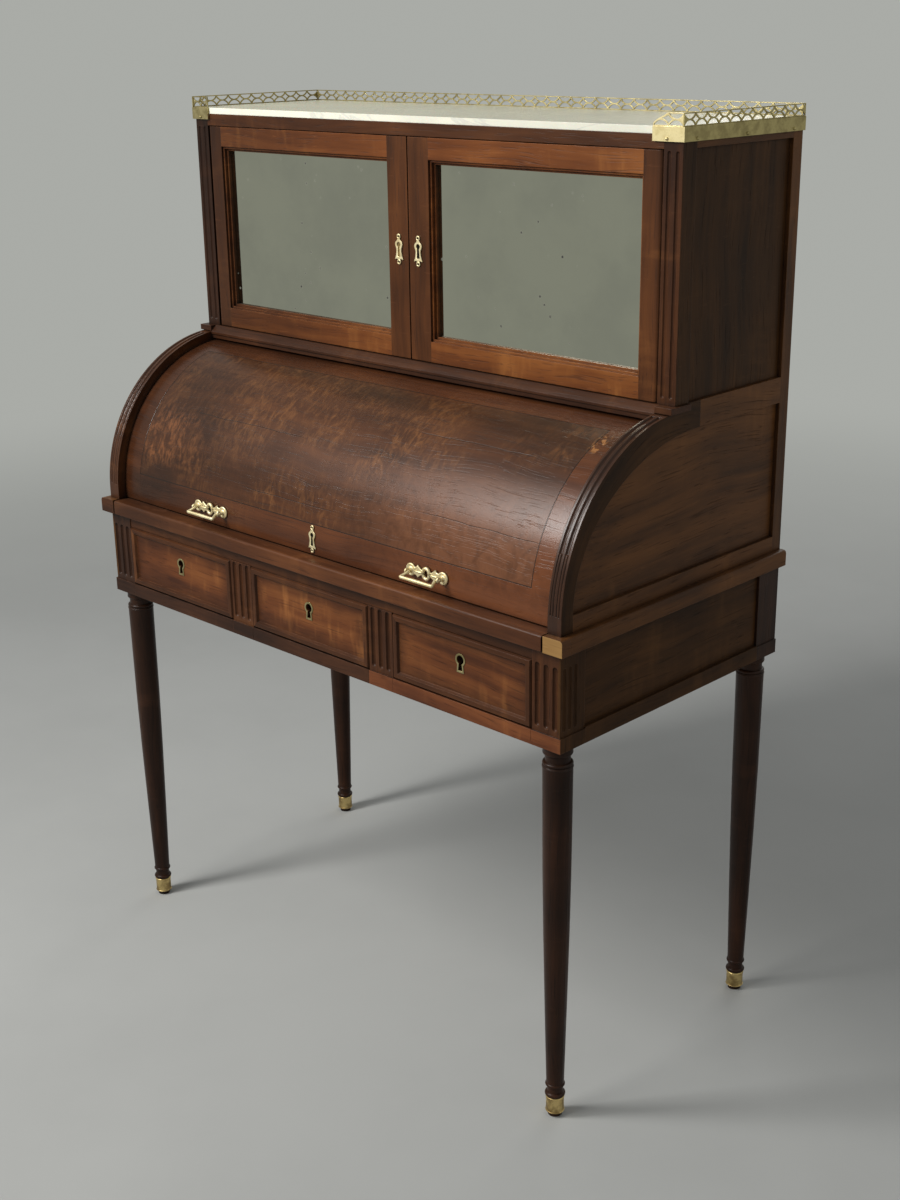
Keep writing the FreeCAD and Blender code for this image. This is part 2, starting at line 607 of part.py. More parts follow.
piece("cylinder_shell", cut(curve, hole))
arm_out = cheek_in - s.pivot_plate - s.arm_end_gap / 2
arm_in = arm_out - s.arm_thick
inner = rod(arm_in, axis_y, axis_z, shell_in, s.arm_thick, along_x)
arms = common(inner, fuse(box(arm_in, arm_out, axis_y - s.arm_width / 2, axis_y + s.arm_width / 2, axis_z,
                              axis_z + shell_out),
                          box(arm_in, arm_out, axis_y - shell_out, axis_y, axis_z, axis_z + s.arm_width)))
arm = cut(fuse(arms, rod(arm_in, axis_y, axis_z, s.hub_radius, s.arm_thick, along_x)),
          rod(arm_in - s.overrun, axis_y, axis_z, s.pivot_radius + s.pivot_clear,
              s.arm_thick + s.overrun * 2, along_x))
piece("cylinder_arms", group(arm, flip(arm)))
pivot = fuse(rod(arm_in - s.pivot_plate / 2, axis_y, axis_z, s.pivot_radius, cheek_in - arm_in, along_x),
             rod(cheek_in - s.pivot_plate, axis_y, axis_z, s.pivot_plate_radius, s.pivot_plate, along_x))
piece("cylinder_pivots", group(pivot, flip(pivot)))


def scutcheon(x, z, y0, y1):
    # A small brass plate: round body, waisted neck, and a ringed bud above and below, with its keyhole.
    bud_up = z + s.scutcheon_half
    bud_low = z - s.scutcheon_half
    plate = fuse(rod(x, y0, z + s.scutcheon_waist, s.scutcheon_body, y1 - y0, along_y),
                 rod(x, y0, z - s.scutcheon_waist, s.scutcheon_body - s.scutcheon_bud / 2, y1 - y0, along_y),
                 box(x - s.scutcheon_bud, x + s.scutcheon_bud, y0, y1, bud_low, bud_up),
                 rod(x, y0, bud_up, s.scutcheon_waist, y1 - y0, along_y),
                 rod(x, y0, bud_low, s.scutcheon_waist, y1 - y0, along_y),
                 rod(x, y0, bud_up + s.scutcheon_waist, s.scutcheon_bud, y1 - y0, along_y),
                 rod(x, y0, bud_low - s.scutcheon_waist, s.scutcheon_bud, y1 - y0, along_y))
    return cut(plate, rod(x, y0 - s.overrun, z, s.scutcheon_hole, y1 - y0 + s.overrun * 2, along_y),
               box(x - s.scutcheon_slot / 2, x + s.scutcheon_slot / 2, y0 - s.overrun, y1 + s.overrun,
                   z - s.scutcheon_slot_length, z),
               rod(x, y0 - s.overrun, bud_up, s.scutcheon_waist - s.scutcheon_bud / 2,
                   y1 - y0 + s.overrun * 2, along_y),
               rod(x, y0 - s.overrun, bud_low, s.scutcheon_waist - s.scutcheon_bud / 2,
                   y1 - y0 + s.overrun * 2, along_y))


skin = cut(rod(-s.lock_width, axis_y, axis_z, shell_out + s.scutcheon_thick, s.lock_width * 2, along_x),
           rod(-s.lock_width * 2, axis_y, axis_z, shell_out, s.lock_width * 4, along_x))
plate = common(skin, scutcheon(bay * 0, pull_z, axis_y - shell_out - s.overrun * 2, axis_y - shell_in))
case = common(rod(-s.lock_width / 2, axis_y, axis_z, shell_in, s.lock_width, along_x),
              box(-s.lock_width / 2, s.lock_width / 2, axis_y - shell_in, axis_y - shell_in + s.lock_thick,
                  pull_z - s.lock_height / 2, pull_z + s.lock_height / 2))
piece("cylinder_lock", group(plate, case))

# brass pulls: a ribbon plate with two rosettes, posts with eyes, and a squared bail on pins
pull_y = axis_y - shell_out - s.pull_seat
eye_y = pull_y - s.rosette_thick - s.pull_post_length


def pull_plate(x):
    body = [box(x - s.pull_half, x + s.pull_half, pull_y - s.rosette_thick / 2, pull_y,
                pull_z - s.pull_bar_height / 2,
                pull_z + s.pull_bar_height / 2),
            ring(x, pull_y - s.rosette_thick, pull_z, s.pull_ring_radius, s.pull_ring_wire,
                 FreeCAD.Rotation(FreeCAD.Vector(1, 0, 0), 90))]
    for step in (-1, 1):
        ex = x + s.pull_half * step
        body += [rod(ex, pull_y - s.rosette_thick, pull_z, s.rosette_radius, s.rosette_thick, along_y),
                 rod(ex, eye_y + s.pull_eye_clear, pull_z, s.pull_post_radius,
                     s.pull_post_length - s.pull_eye_clear,
                     along_y),
                 rod(ex - s.pull_eye_half, eye_y, pull_z, s.pull_eye_radius, s.pull_eye_half * 2, along_x)]
    bore = rod(x - s.pull_half - s.pull_eye_half - s.overrun, eye_y, pull_z,
               s.bail_pin_radius + s.bail_pin_clear,
               (s.pull_half + s.pull_eye_half + s.overrun) * 2, along_x)
    return cut(fuse(*body), bore)


right_plate = pull_plate(pull_place)
piece("pull_plates", group(right_plate, flip(right_plate)))
bail_in = s.pull_half - s.pull_eye_half - s.bail_gap - s.bail_wire
bar_y = eye_y - s.bail_reach
bar_z = pull_z - s.bail_drop


def bail(x):
    body = [rod(x - bail_in, bar_y, bar_z, s.bail_wire, bail_in * 2, along_x)]
    for step in (-1, 1):
        ex = x + bail_in * step
        body += [rod(ex, bar_y, bar_z, s.bail_wire, eye_y - bar_y, along_y),
                 ball(ex, bar_y, bar_z, s.bail_knob),
                 ball(ex, eye_y, bar_z, s.bail_wire),
                 rod(ex, eye_y, bar_z, s.bail_wire, s.bail_drop),
                 ball(ex, eye_y, pull_z, s.bail_wire)]
    reach = s.pull_half + s.pull_eye_half + s.bail_pin_lap
    pin = rod(x - reach, eye_y, pull_z, s.bail_pin_radius, reach * 2, along_x)
    trim = box(x - bail_in, x + bail_in, eye_y - s.overrun, eye_y + s.overrun, pull_z - s.bail_pin_radius * 2,
               pull_z + s.bail_pin_radius * 2)
    return fuse(cut(pin, trim), *body)


right_bail = bail(pull_place)
piece("pull_bail_right", right_bail)
piece("pull_bail_left", flip(right_bail))

# cabinet base: moulded front rail with caps over the cheeks, floor, posts, rails, shelf and top
base_foot = axis_z + shell_out + s.base_clear
nose_y = cabinet_front - s.base_proud
nose_z = cabinet_foot - s.base_nose
base_y1 = cabinet_front + s.base_back
run = moulding([(base_y1, base_foot), (base_y1, cabinet_foot), (cabinet_front - s.base_step, cabinet_foot),
                (nose_y + s.base_quirk, nose_z + s.base_quirk), (nose_y, nose_z),
                (nose_y, nose_z - s.base_step), (nose_y + s.base_quirk / 2, nose_z - s.base_step),
                (nose_y + s.base_quirk / 2, base_foot)],
               -cheek_in, cheek_in)
cap = box(cheek_in, half + s.base_end, nose_y, post_rear, cap_foot, cabinet_foot)
piece("cabinet_base_moulding", group(run, cap, flip(cap)))
piece("cabinet_floor", box(-cheek_in, cheek_in, base_y1, panel_y0, cabinet_foot - s.cabinet_floor,
                           cabinet_foot))
cabinet_in = half - s.cabinet_post
post_x = half - s.cabinet_post / 2
post = cut(box(cabinet_in, half, cabinet_front, post_rear, cabinet_foot, cabinet_head),
           *[flute(post_x + s.cabinet_flute_pitch / 2 * step, cabinet_front - s.cabinet_flute_set,
                   cabinet_foot + s.flute_end, cabinet_head - s.flute_end * 2, s.cabinet_flute_radius)
             for step in (-1, 1)])
pair("cabinet_post", post)
piece("cabinet_top_rail", box(-cabinet_in, cabinet_in, cabinet_front, post_rear,
                              cabinet_head - s.cabinet_rail,
                              cabinet_head))
piece("cabinet_top_board", box(-cheek_in, cheek_in, post_rear, panel_y0, cabinet_head - s.top_board,
                               cabinet_head))
piece("cabinet_shelf", box(-cheek_in, cheek_in, cabinet_front + s.shelf_back, panel_y0,
                           cabinet_foot + s.shelf_rise,
                           cabinet_foot + s.shelf_rise + s.shelf_thick))

# doors: framed mirrors hung on pin hinges close to their outer front edges
door_out = cabinet_in - s.door_gap
door_y1 = cabinet_front + s.door_thick
door_z0 = cabinet_foot + s.door_foot_gap
door_z1 = cabinet_head - s.cabinet_rail - s.door_head_gap
hinge_x = door_out - s.hinge_set
hinge_y = cabinet_front + s.hinge_set
sight_x0 = s.door_meet_gap + s.meet_stile
sight_x1 = door_out - s.hang_stile
sight_z0 = door_z0 + s.door_foot_rail
sight_z1 = door_z1 - s.door_top_rail
glass_y0 = door_y1 - s.rebate_depth
rebate = box(sight_x0 - s.rebate_width, sight_x1 + s.rebate_width, glass_y0, door_y1 + s.overrun,
             sight_z0 - s.rebate_width, sight_z1 + s.rebate_width)
bore_radius = s.hinge_pin_radius + s.hinge_pin_clear
bores = fuse(rod(hinge_x, hinge_y, door_z0 - s.overrun, bore_radius, s.hinge_pin_lap + s.overrun * 2),
             rod(hinge_x, hinge_y, door_z1 - s.hinge_pin_lap - s.overrun, bore_radius,
                 s.hinge_pin_lap + s.overrun * 2))
hang = cut(fuse(box(sight_x1, hinge_x, cabinet_front, door_y1, door_z0, door_z1),
                box(sight_x1, door_out, hinge_y, door_y1, door_z0, door_z1),
                rod(hinge_x, hinge_y, door_z0, s.hinge_set, door_z1 - door_z0)), rebate, bores)
meet = cut(box(s.door_meet_gap, sight_x0, cabinet_front, door_y1, door_z0, door_z1), rebate)
high = cut(box(sight_x0, sight_x1, cabinet_front, door_y1, sight_z1, door_z1), rebate)
low = cut(box(sight_x0, sight_x1, cabinet_front, door_y1, door_z0, sight_z0), rebate)
lip_y0 = cabinet_front + s.sight_set
step_y0 = lip_y0 + s.sight_step
sight = cut(box(sight_x0, sight_x1, lip_y0, glass_y0, sight_z0, sight_z1),
            box(sight_x0 + s.sight_lip, sight_x1 - s.sight_lip, lip_y0 - s.overrun, step_y0,
                sight_z0 + s.sight_lip,
                sight_z1 - s.sight_lip),
            box(sight_x0 + s.sight_width, sight_x1 - s.sight_width, lip_y0, glass_y0 + s.overrun,
                sight_z0 + s.sight_width, sight_z1 - s.sight_width))
glass_x0 = sight_x0 - s.rebate_width + s.mirror_gap
glass_x1 = sight_x1 + s.rebate_width - s.mirror_gap
glass_z0 = sight_z0 - s.rebate_width + s.mirror_gap
glass_z1 = sight_z1 + s.rebate_width - s.mirror_gap
pair("door_mirror", box(glass_x0, glass_x1, glass_y0, glass_y0 + s.mirror_thick, glass_z0, glass_z1))
back = box(glass_x0, glass_x1, glass_y0 + s.mirror_thick, glass_y0 + s.mirror_thick + s.door_back_thick,
           glass_z0, glass_z1)
pair("door_frame", group(hang, meet, high, low, sight, back))
door_key_z = (door_z0 + door_z1) / 2
pair("door_lock", group(scutcheon(s.scutcheon_place, door_key_z, cabinet_front - s.scutcheon_thick,
                                  cabinet_front),
                        box(s.scutcheon_place - s.door_lock_width / 2,
                            s.scutcheon_place + s.door_lock_width / 2,
                            door_y1, door_y1 + s.lock_thick, door_key_z - s.door_lock_height / 2,
                            door_key_z + s.door_lock_height / 2)))
low_pin = rod(hinge_x, hinge_y, cabinet_foot, s.hinge_pin_radius, s.door_foot_gap + s.hinge_pin_lap)
high_pin = rod(hinge_x, hinge_y, door_z1 - s.hinge_pin_lap, s.hinge_pin_radius,
               s.door_head_gap + s.hinge_pin_lap)
piece("door_hinge_pins", group(low_pin, high_pin, flip(low_pin), flip(high_pin)))

# marble slab inside a brass band, with a pierced brass gallery on three sides
slab_half = half
slab_y0 = cabinet_front
slab_y1 = rear - s.band_thick
slab_z1 = cabinet_head + s.marble_thick
piece("marble_top", box(-slab_half, slab_half, slab_y0, slab_y1, cabinet_head, slab_z1))
band_out = slab_half + s.band_thick
band_y0 = slab_y0 - s.band_thick
band_z0 = cabinet_head - s.band_drop
band_z1 = slab_z1


def side_band(length):
    # The right-hand band with its short front return and dome nails.
    nail_z = band_z0 + s.nail_rise
    nail_pitch = (rear - band_y0) / 10
    nails = [ball(band_out, band_y0 + nail_pitch * step, nail_z, s.nail_radius) for step in (1, 5, 9)]
    return fuse(box(slab_half, band_out, band_y0, rear, band_z0, band_z1),
                box(slab_half - length, slab_half, band_y0, slab_y0, band_z0, band_z1),
                ball(slab_half - length / 2, band_y0, nail_z, s.nail_radius), *nails)


back_band = box(-slab_half, slab_half, slab_y1, rear, cabinet_head, band_z1)
doc.recompute()


def fret(length, ramped):
    # One holed face: half moons hang from both rails, with pointed diamonds between them. A ramped run
    # falls over its last unit, which keeps the lower half moon only.
    tall = sheet.get("fret_height")
    rail = sheet.get("fret_rail")
    ribbon = sheet.get("fret_ribbon")
    count = max(2, int(round(length / sheet.get("fret_pitch"))))
    pitch = length / count
    gap = tall / 2 - rail
    radius = ((pitch / 2) ** 2 + gap ** 2) / (gap * 2)
    rise = radius - gap
    up = tall - rail + rise
    down = rail - rise
    inner_r = radius - ribbon / 2
    outer_r = radius + ribbon / 2
    half_turn = math.acos(rise / inner_r)
    tip_turn = math.acos(radius / outer_r)
    top_turn = math.asin(pitch / 2 / outer_r)
    right_angle = math.pi / 2

    def spot(cx, cz, r, turn):
        return FreeCAD.Vector(cx + r * math.cos(turn), 0, cz + r * math.sin(turn))

    def arc(cx, cz, r, a, b):
        return Part.Arc(spot(cx, cz, r, a), spot(cx, cz, r, (a + b) / 2), spot(cx, cz, r, b)).toShape()

    def line(a, b):
        return Part.LineSegment(a, b).toShape()

    def loop(edges):
        return Part.Wire(Part.__sortEdges__(edges))

    corner = FreeCAD.Vector(0, 0, 0)
    corners = [FreeCAD.Vector(length, 0, 0), FreeCAD.Vector(length, 0, tall), FreeCAD.Vector(0, 0, tall)]
    last = length - pitch / 2
    if ramped:
        peak = FreeCAD.Vector(length - pitch, 0, tall)
        far = math.hypot(pitch / 2, tall - down)
        fall_turn = math.atan2(tall - down, -pitch / 2) - math.acos(outer_r / far)
        foot_turn = right_angle - top_turn
        outer = loop([line(corner, corners[0]), line(corners[0], spot(last, down, outer_r, foot_turn)),
                      arc(last, down, outer_r, foot_turn, fall_turn),
                      line(spot(last, down, outer_r, fall_turn), peak),
                      line(peak, corners[2]), line(corners[2], corner)])
        meet_turn = fall_turn + math.acos((outer_r - ribbon) / outer_r)
    else:
        outer = Part.makePolygon([corner] + corners + [corner])
    holes = []
    for i in range(count):
        cx = pitch * (i + 0.5)
        moons = [(down, right_angle)]
        if i + 1 < count or not ramped:
            moons.append((up, -right_angle))
        for cz, aim in moons:
            bow = arc(cx, cz, inner_r, aim - half_turn, aim + half_turn)
            ends = [vertex.Point for vertex in bow.Vertexes]
            holes.append(loop([bow, line(ends[0], ends[1])]))
        if i + 1 == count:
            continue
        right = cx + pitch
        sides = [arc(cx, up, outer_r, tip_turn - right_angle, top_turn - right_angle),
                 arc(cx, down, outer_r, right_angle - top_turn, right_angle - tip_turn)]
        if ramped and i + 2 == count:
            sides += [line(spot(cx, up, outer_r, top_turn - right_angle),
                           spot(right, down, outer_r, meet_turn)),
                      arc(right, down, outer_r, meet_turn, right_angle + top_turn)]
        else:
            sides += [arc(right, up, outer_r, -right_angle - top_turn, -right_angle - tip_turn),
                      arc(right, down, outer_r, right_angle + tip_turn, right_angle + top_turn)]
        holes.append(loop(sides))
    face = Part.makeFace([outer] + holes, "Part::FaceMakerBullseye")
    return face.extrude(FreeCAD.Vector(0, sheet.get("fret_thick"), 0))


def fret_piece(shape, x, y, z, turn):
    shape = shape.copy()
    item = doc.addObject("Part::Feature", "fretwork")
    item.Shape = shape
    facing = FreeCAD.Rotation(FreeCAD.Vector(0, 0, 1), turn)
    item.Placement = FreeCAD.Placement(FreeCAD.Vector(x, y, z), facing)
    return item


fret_set = (s.band_thick - s.fret_thick) / 2
fret_z = number_of(band_z1)
side_run = number_of(rear - band_y0)
back_run = number_of(slab_half * 2)
corner_x = number_of(-slab_half - fret_set)
return_y = number_of(band_y0 + fret_set)
right_fret = fret_piece(fret(side_run, False), number_of(band_out - fret_set), number_of(band_y0), fret_z, 90)
back_fret = fret_piece(fret(back_run, False), number_of(-slab_half), number_of(slab_y1 + fret_set), fret_z, 0)
left_return = fret_piece(fret(number_of(s.band_return_left + fret_set), False), corner_x, return_y, fret_z, 0)
right_return = fret_piece(fret(number_of(s.band_return_right + fret_set), True), corner_x, return_y, fret_z,
                          0)
piece("brass_gallery", group(side_band(s.band_return_right), flip(side_band(s.band_return_left)), back_band,
                             right_fret, flip(right_fret), back_fret, left_return, flip(right_return)))

# writing interior: a fixed bed over the slide and a nest of pigeonholes with two small drawers
bed_z0 = desk_top + s.bed_gap / 2
bed_z1 = bed_z0 + s.bed_thick
bed_y0 = front + s.bed_set
bed_half = arm_in - s.bed_end_gap
nest_half = bed_half - s.nest_end_gap
wing_y0 = axis_y + s.hub_radius * 2
piece("interior_bed", fuse(box(-bed_half, bed_half, bed_y0, panel_y0, bed_z0, bed_z1),
                           box(-cheek_in, cheek_in, wing_y0, panel_y0, bed_z0, bed_z1)))
nest_y0 = front + s.nest_set
nest_y1 = nest_y0 + s.nest_depth
nest_z1 = bed_z1 + s.nest_height
shelf_z0 = bed_z1 + s.nest_shelf_rise
cell = (nest_half * 2 - s.nest_wall * 4) / 3
boards = []
for step in range(4):
    x0 = -nest_half + (cell + s.nest_wall) * step
    boards.append(box(x0, x0 + s.nest_wall, nest_y0, nest_y1 - s.nest_wall, bed_z1, nest_z1 - s.nest_wall))
for step in range(3):
    x0 = -nest_half + s.nest_wall + (cell + s.nest_wall) * step
    boards.append(box(x0, x0 + cell, nest_y0, nest_y1 - s.nest_wall, shelf_z0, shelf_z0 + s.nest_wall))
boards.append(box(-nest_half, nest_half, nest_y0, nest_y1, nest_z1 - s.nest_wall, nest_z1))
boards.append(box(-nest_half, nest_half, nest_y1 - s.nest_wall, nest_y1, bed_z1, nest_z1 - s.nest_wall))
piece("pigeonhole_nest", group(*boards))
for step, label in ((0, "left"), (2, "right")):
    x0 = -nest_half + s.nest_wall + (cell + s.nest_wall) * step + s.nest_gap
    x1 = x0 + cell - s.nest_gap * 2
    z0 = bed_z1 + s.nest_gap
    z1 = shelf_z0 - s.nest_gap
    y1 = nest_y0 + s.nest_front
    y2 = y1 + s.nest_drawer_depth - s.nest_front
    wall = s.nest_drawer_wall
    mid = (x0 + x1) / 2
    knob_z = (z0 + z1) / 2
    knob = fuse(rod(mid, nest_y0 - s.knob_stand, knob_z, s.knob_stem, s.knob_stand, along_y),
                ball(mid, nest_y0 - s.knob_stand, knob_z, s.knob_radius))
    tray = [box(x0, x1, nest_y0, y1, z0, z1), box(x0, x0 + wall, y1, y2, z0, z1),
            box(x1 - wall, x1, y1, y2, z0, z1), box(x0 + wall, x1 - wall, y2 - wall, y2, z0, z1),
            box(x0 + wall, x1 - wall, y1, y2 - wall, z0, z0 + wall)]
    piece("nest_drawer_%s" % label, group(*tray, knob))

doc.recompute()
faults = [item.Name for item in doc.Objects if "Invalid" in item.State or "Error" in item.State]
if faults:
    raise RuntimeError("not built: " + ", ".join(faults))
for item in pieces:
    if item.Shape.isNull() or not item.Shape.isValid() or not item.Shape.Solids:
        raise RuntimeError("no valid solid: " + item.Label)
os.makedirs("parts", exist_ok=True)
for item in pieces:
    item.Shape.exportStep("parts/%s.step" % item.Label)
print(len(pieces), "pieces written")
for word, value in (("axis", (axis_y, axis_z)), ("hinge", (hinge_x, hinge_y)), ("eye", (eye_y, pull_z))):
    print(word, [round(number_of(part), 3) for part in value])
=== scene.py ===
import json
import math
import bpy
import bmesh
from mathutils import Matrix, Vector

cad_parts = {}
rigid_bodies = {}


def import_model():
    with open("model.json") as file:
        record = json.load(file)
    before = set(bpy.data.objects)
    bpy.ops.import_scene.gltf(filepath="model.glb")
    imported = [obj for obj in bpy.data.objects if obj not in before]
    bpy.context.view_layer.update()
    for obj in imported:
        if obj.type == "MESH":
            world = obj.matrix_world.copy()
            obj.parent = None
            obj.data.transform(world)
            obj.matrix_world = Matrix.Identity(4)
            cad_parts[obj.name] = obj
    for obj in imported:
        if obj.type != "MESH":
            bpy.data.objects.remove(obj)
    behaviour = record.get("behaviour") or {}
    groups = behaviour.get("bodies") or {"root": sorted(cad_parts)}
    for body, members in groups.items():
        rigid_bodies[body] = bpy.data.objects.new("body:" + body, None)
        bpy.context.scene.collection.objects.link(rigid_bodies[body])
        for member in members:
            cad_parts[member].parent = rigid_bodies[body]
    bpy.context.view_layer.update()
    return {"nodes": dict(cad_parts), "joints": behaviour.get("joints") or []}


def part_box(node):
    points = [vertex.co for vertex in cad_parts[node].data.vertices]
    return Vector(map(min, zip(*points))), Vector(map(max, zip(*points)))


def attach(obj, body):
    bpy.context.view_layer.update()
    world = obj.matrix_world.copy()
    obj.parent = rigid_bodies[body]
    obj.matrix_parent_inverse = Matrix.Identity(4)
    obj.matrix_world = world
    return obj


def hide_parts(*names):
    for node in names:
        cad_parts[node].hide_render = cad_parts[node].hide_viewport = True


for leftOver in list(bpy.data.objects):  # start from an empty scene
    bpy.data.objects.remove(leftOver, do_unlink=True)
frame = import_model()
nodes = frame["nodes"]
scene = bpy.context.scene
scene.view_settings.view_transform = "Standard"
print("frame loaded,", len(nodes), "nodes")

mm = 0.001
hair = 0.0005  # slack for telling faces apart by their place
axisY, axisZ = -0.007, 0.791  # the line the cylinder turns on
shellRadius = 0.229
fullTurn, quarterTurn = 2 * math.pi, math.pi / 2
noShift = (0.0, 0.0, 0.0)
noiseMiddle = 0.5
raySamples = 4  # for soft edges and dirty corners


# node helpers

def feed(item, values):
    # a socket is linked, anything else becomes the input's own value
    for key, value in values.items():
        if isinstance(value, bpy.types.NodeSocket):
            item.id_data.links.new(value, item.inputs[key])
        else:
            item.inputs[key].default_value = value


def addNode(tree, kind, values=None, **settings):
    item = tree.nodes.new(kind)
    for key, value in settings.items():
        setattr(item, key, value)
    feed(item, values or {})
    return item


def derive(kind, values, **settings):
    # a node in the same tree as the sockets it is fed from
    tree = next(value.id_data for value in values.values() if isinstance(value, bpy.types.NodeSocket))
    return addNode(tree, kind, values, **settings)


def calc(operation, first, second=0.0, clamp=False):
    values = {0: first, 1: second}
    return derive("ShaderNodeMath", values, operation=operation, use_clamp=clamp).outputs[0]


def times(first, second):
    return calc("MULTIPLY", first, second)


def plus(first, second, clamp=False):
    return calc("ADD", first, second, clamp)


def minus(first, second):
    return calc("SUBTRACT", first, second)


def apart(first, second):
    return calc("ABSOLUTE", minus(first, second))


def largest(first, *others):
    for other in others:
        first = calc("MAXIMUM", first, other)
    return first


def smallest(first, *others):
    for other in others:
        first = calc("MINIMUM", first, other)
    return first


def hypotenuse(first, second):
    return calc("SQRT", plus(times(first, first), times(second, second)))


def span(value, limits, out=(0.0, 1.0)):
    # smooth step between two limits, which may fall
    values = {0: value, 1: limits[0], 2: limits[1], 3: out[0], 4: out[1]}
    return derive("ShaderNodeMapRange", values, interpolation_type="SMOOTHSTEP").outputs[0]


def mixColour(factor, first, second, mode="MIX"):
    item = derive("ShaderNodeMix", {0: factor}, data_type="RGBA", blend_type=mode)
    for place, colour in ((6, first), (7, second)):
        feed(item, {place: (*colour, 1.0) if isinstance(colour, tuple) else colour})
    return item.outputs[2]


def vectorCalc(operation, values, output=0):
    return derive("ShaderNodeVectorMath", values, operation=operation).outputs[output]


def noise(vector, scale, detail=3.0, rough=0.55, distortion=0.0):
    values = {"Vector": vector, "Scale": scale, "Detail": detail, "Roughness": rough}
    return derive("ShaderNodeTexNoise", {**values, "Distortion": distortion}).outputs[0]


def grainNoise(vector, scale, shift=noShift, *texture):
    # noise with a scale for each axis; texture is detail, roughness and distortion
    values = {"Vector": vector, "Location": shift, "Scale": scale}
    return noise(derive("ShaderNodeMapping", values).outputs[0], 1.0, *texture)


def cells(vector, scale):
    return derive("ShaderNodeTexVoronoi", {"Vector": vector, "Scale": scale}).outputs["Distance"]


def ramp(factor, stops):
    item = derive("ShaderNodeValToRGB", {0: factor})
    band = item.color_ramp
    while len(band.elements) < len(stops):
        band.elements.new(0.5)
    for element, (place, colour) in zip(band.elements, stops):
        element.position = place
        element.color = (*colour, 1.0)
    return item.outputs[0]


def softEdge(shader, radius):
    return addNode(shader.id_data, "ShaderNodeBevel", {"Radius": radius}, samples=raySamples).outputs[0]


def cornerShade(shader, reach):
    values = {"Distance": reach}
    return addNode(shader.id_data, "ShaderNodeAmbientOcclusion", values, samples=raySamples).outputs["AO"]


def setBump(shader, strength, depth, height, normal=None):
    values = {"Strength": strength, "Distance": depth, "Height": height}
    if normal is not None:
        values["Normal"] = normal
    feed(shader, {"Normal": derive("ShaderNodeBump", values).outputs[0]})


def newFinish(name):
    # a finish, its shader, and the place on the piece
    finish = bpy.data.materials.new(name)
    finish.use_nodes = True
    tree = finish.node_tree
    return finish, tree.nodes["Principled BSDF"], addNode(tree, "ShaderNodeTexCoord").outputs["Object"]


def faceNormal(shader):
    return addNode(shader.id_data, "ShaderNodeNewGeometry").outputs["Normal"]


def splitAxes(vector):
    return derive("ShaderNodeSeparateXYZ", {0: vector}).outputs


def unrolled(vector):
    # x, length along the curve, and radius, for pieces bent about the cylinder's line
    x, y, z = splitAxes(vector)
    dy = minus(axisY, y)
    dz = minus(z, axisZ)
    run = times(calc("ARCTAN2", dz, dy), shellRadius)
    values = {0: x, 1: run, 2: hypotenuse(dy, dz)}
    return derive("ShaderNodeCombineXYZ", values).outputs[0], x, run


# mahogany in its different tones

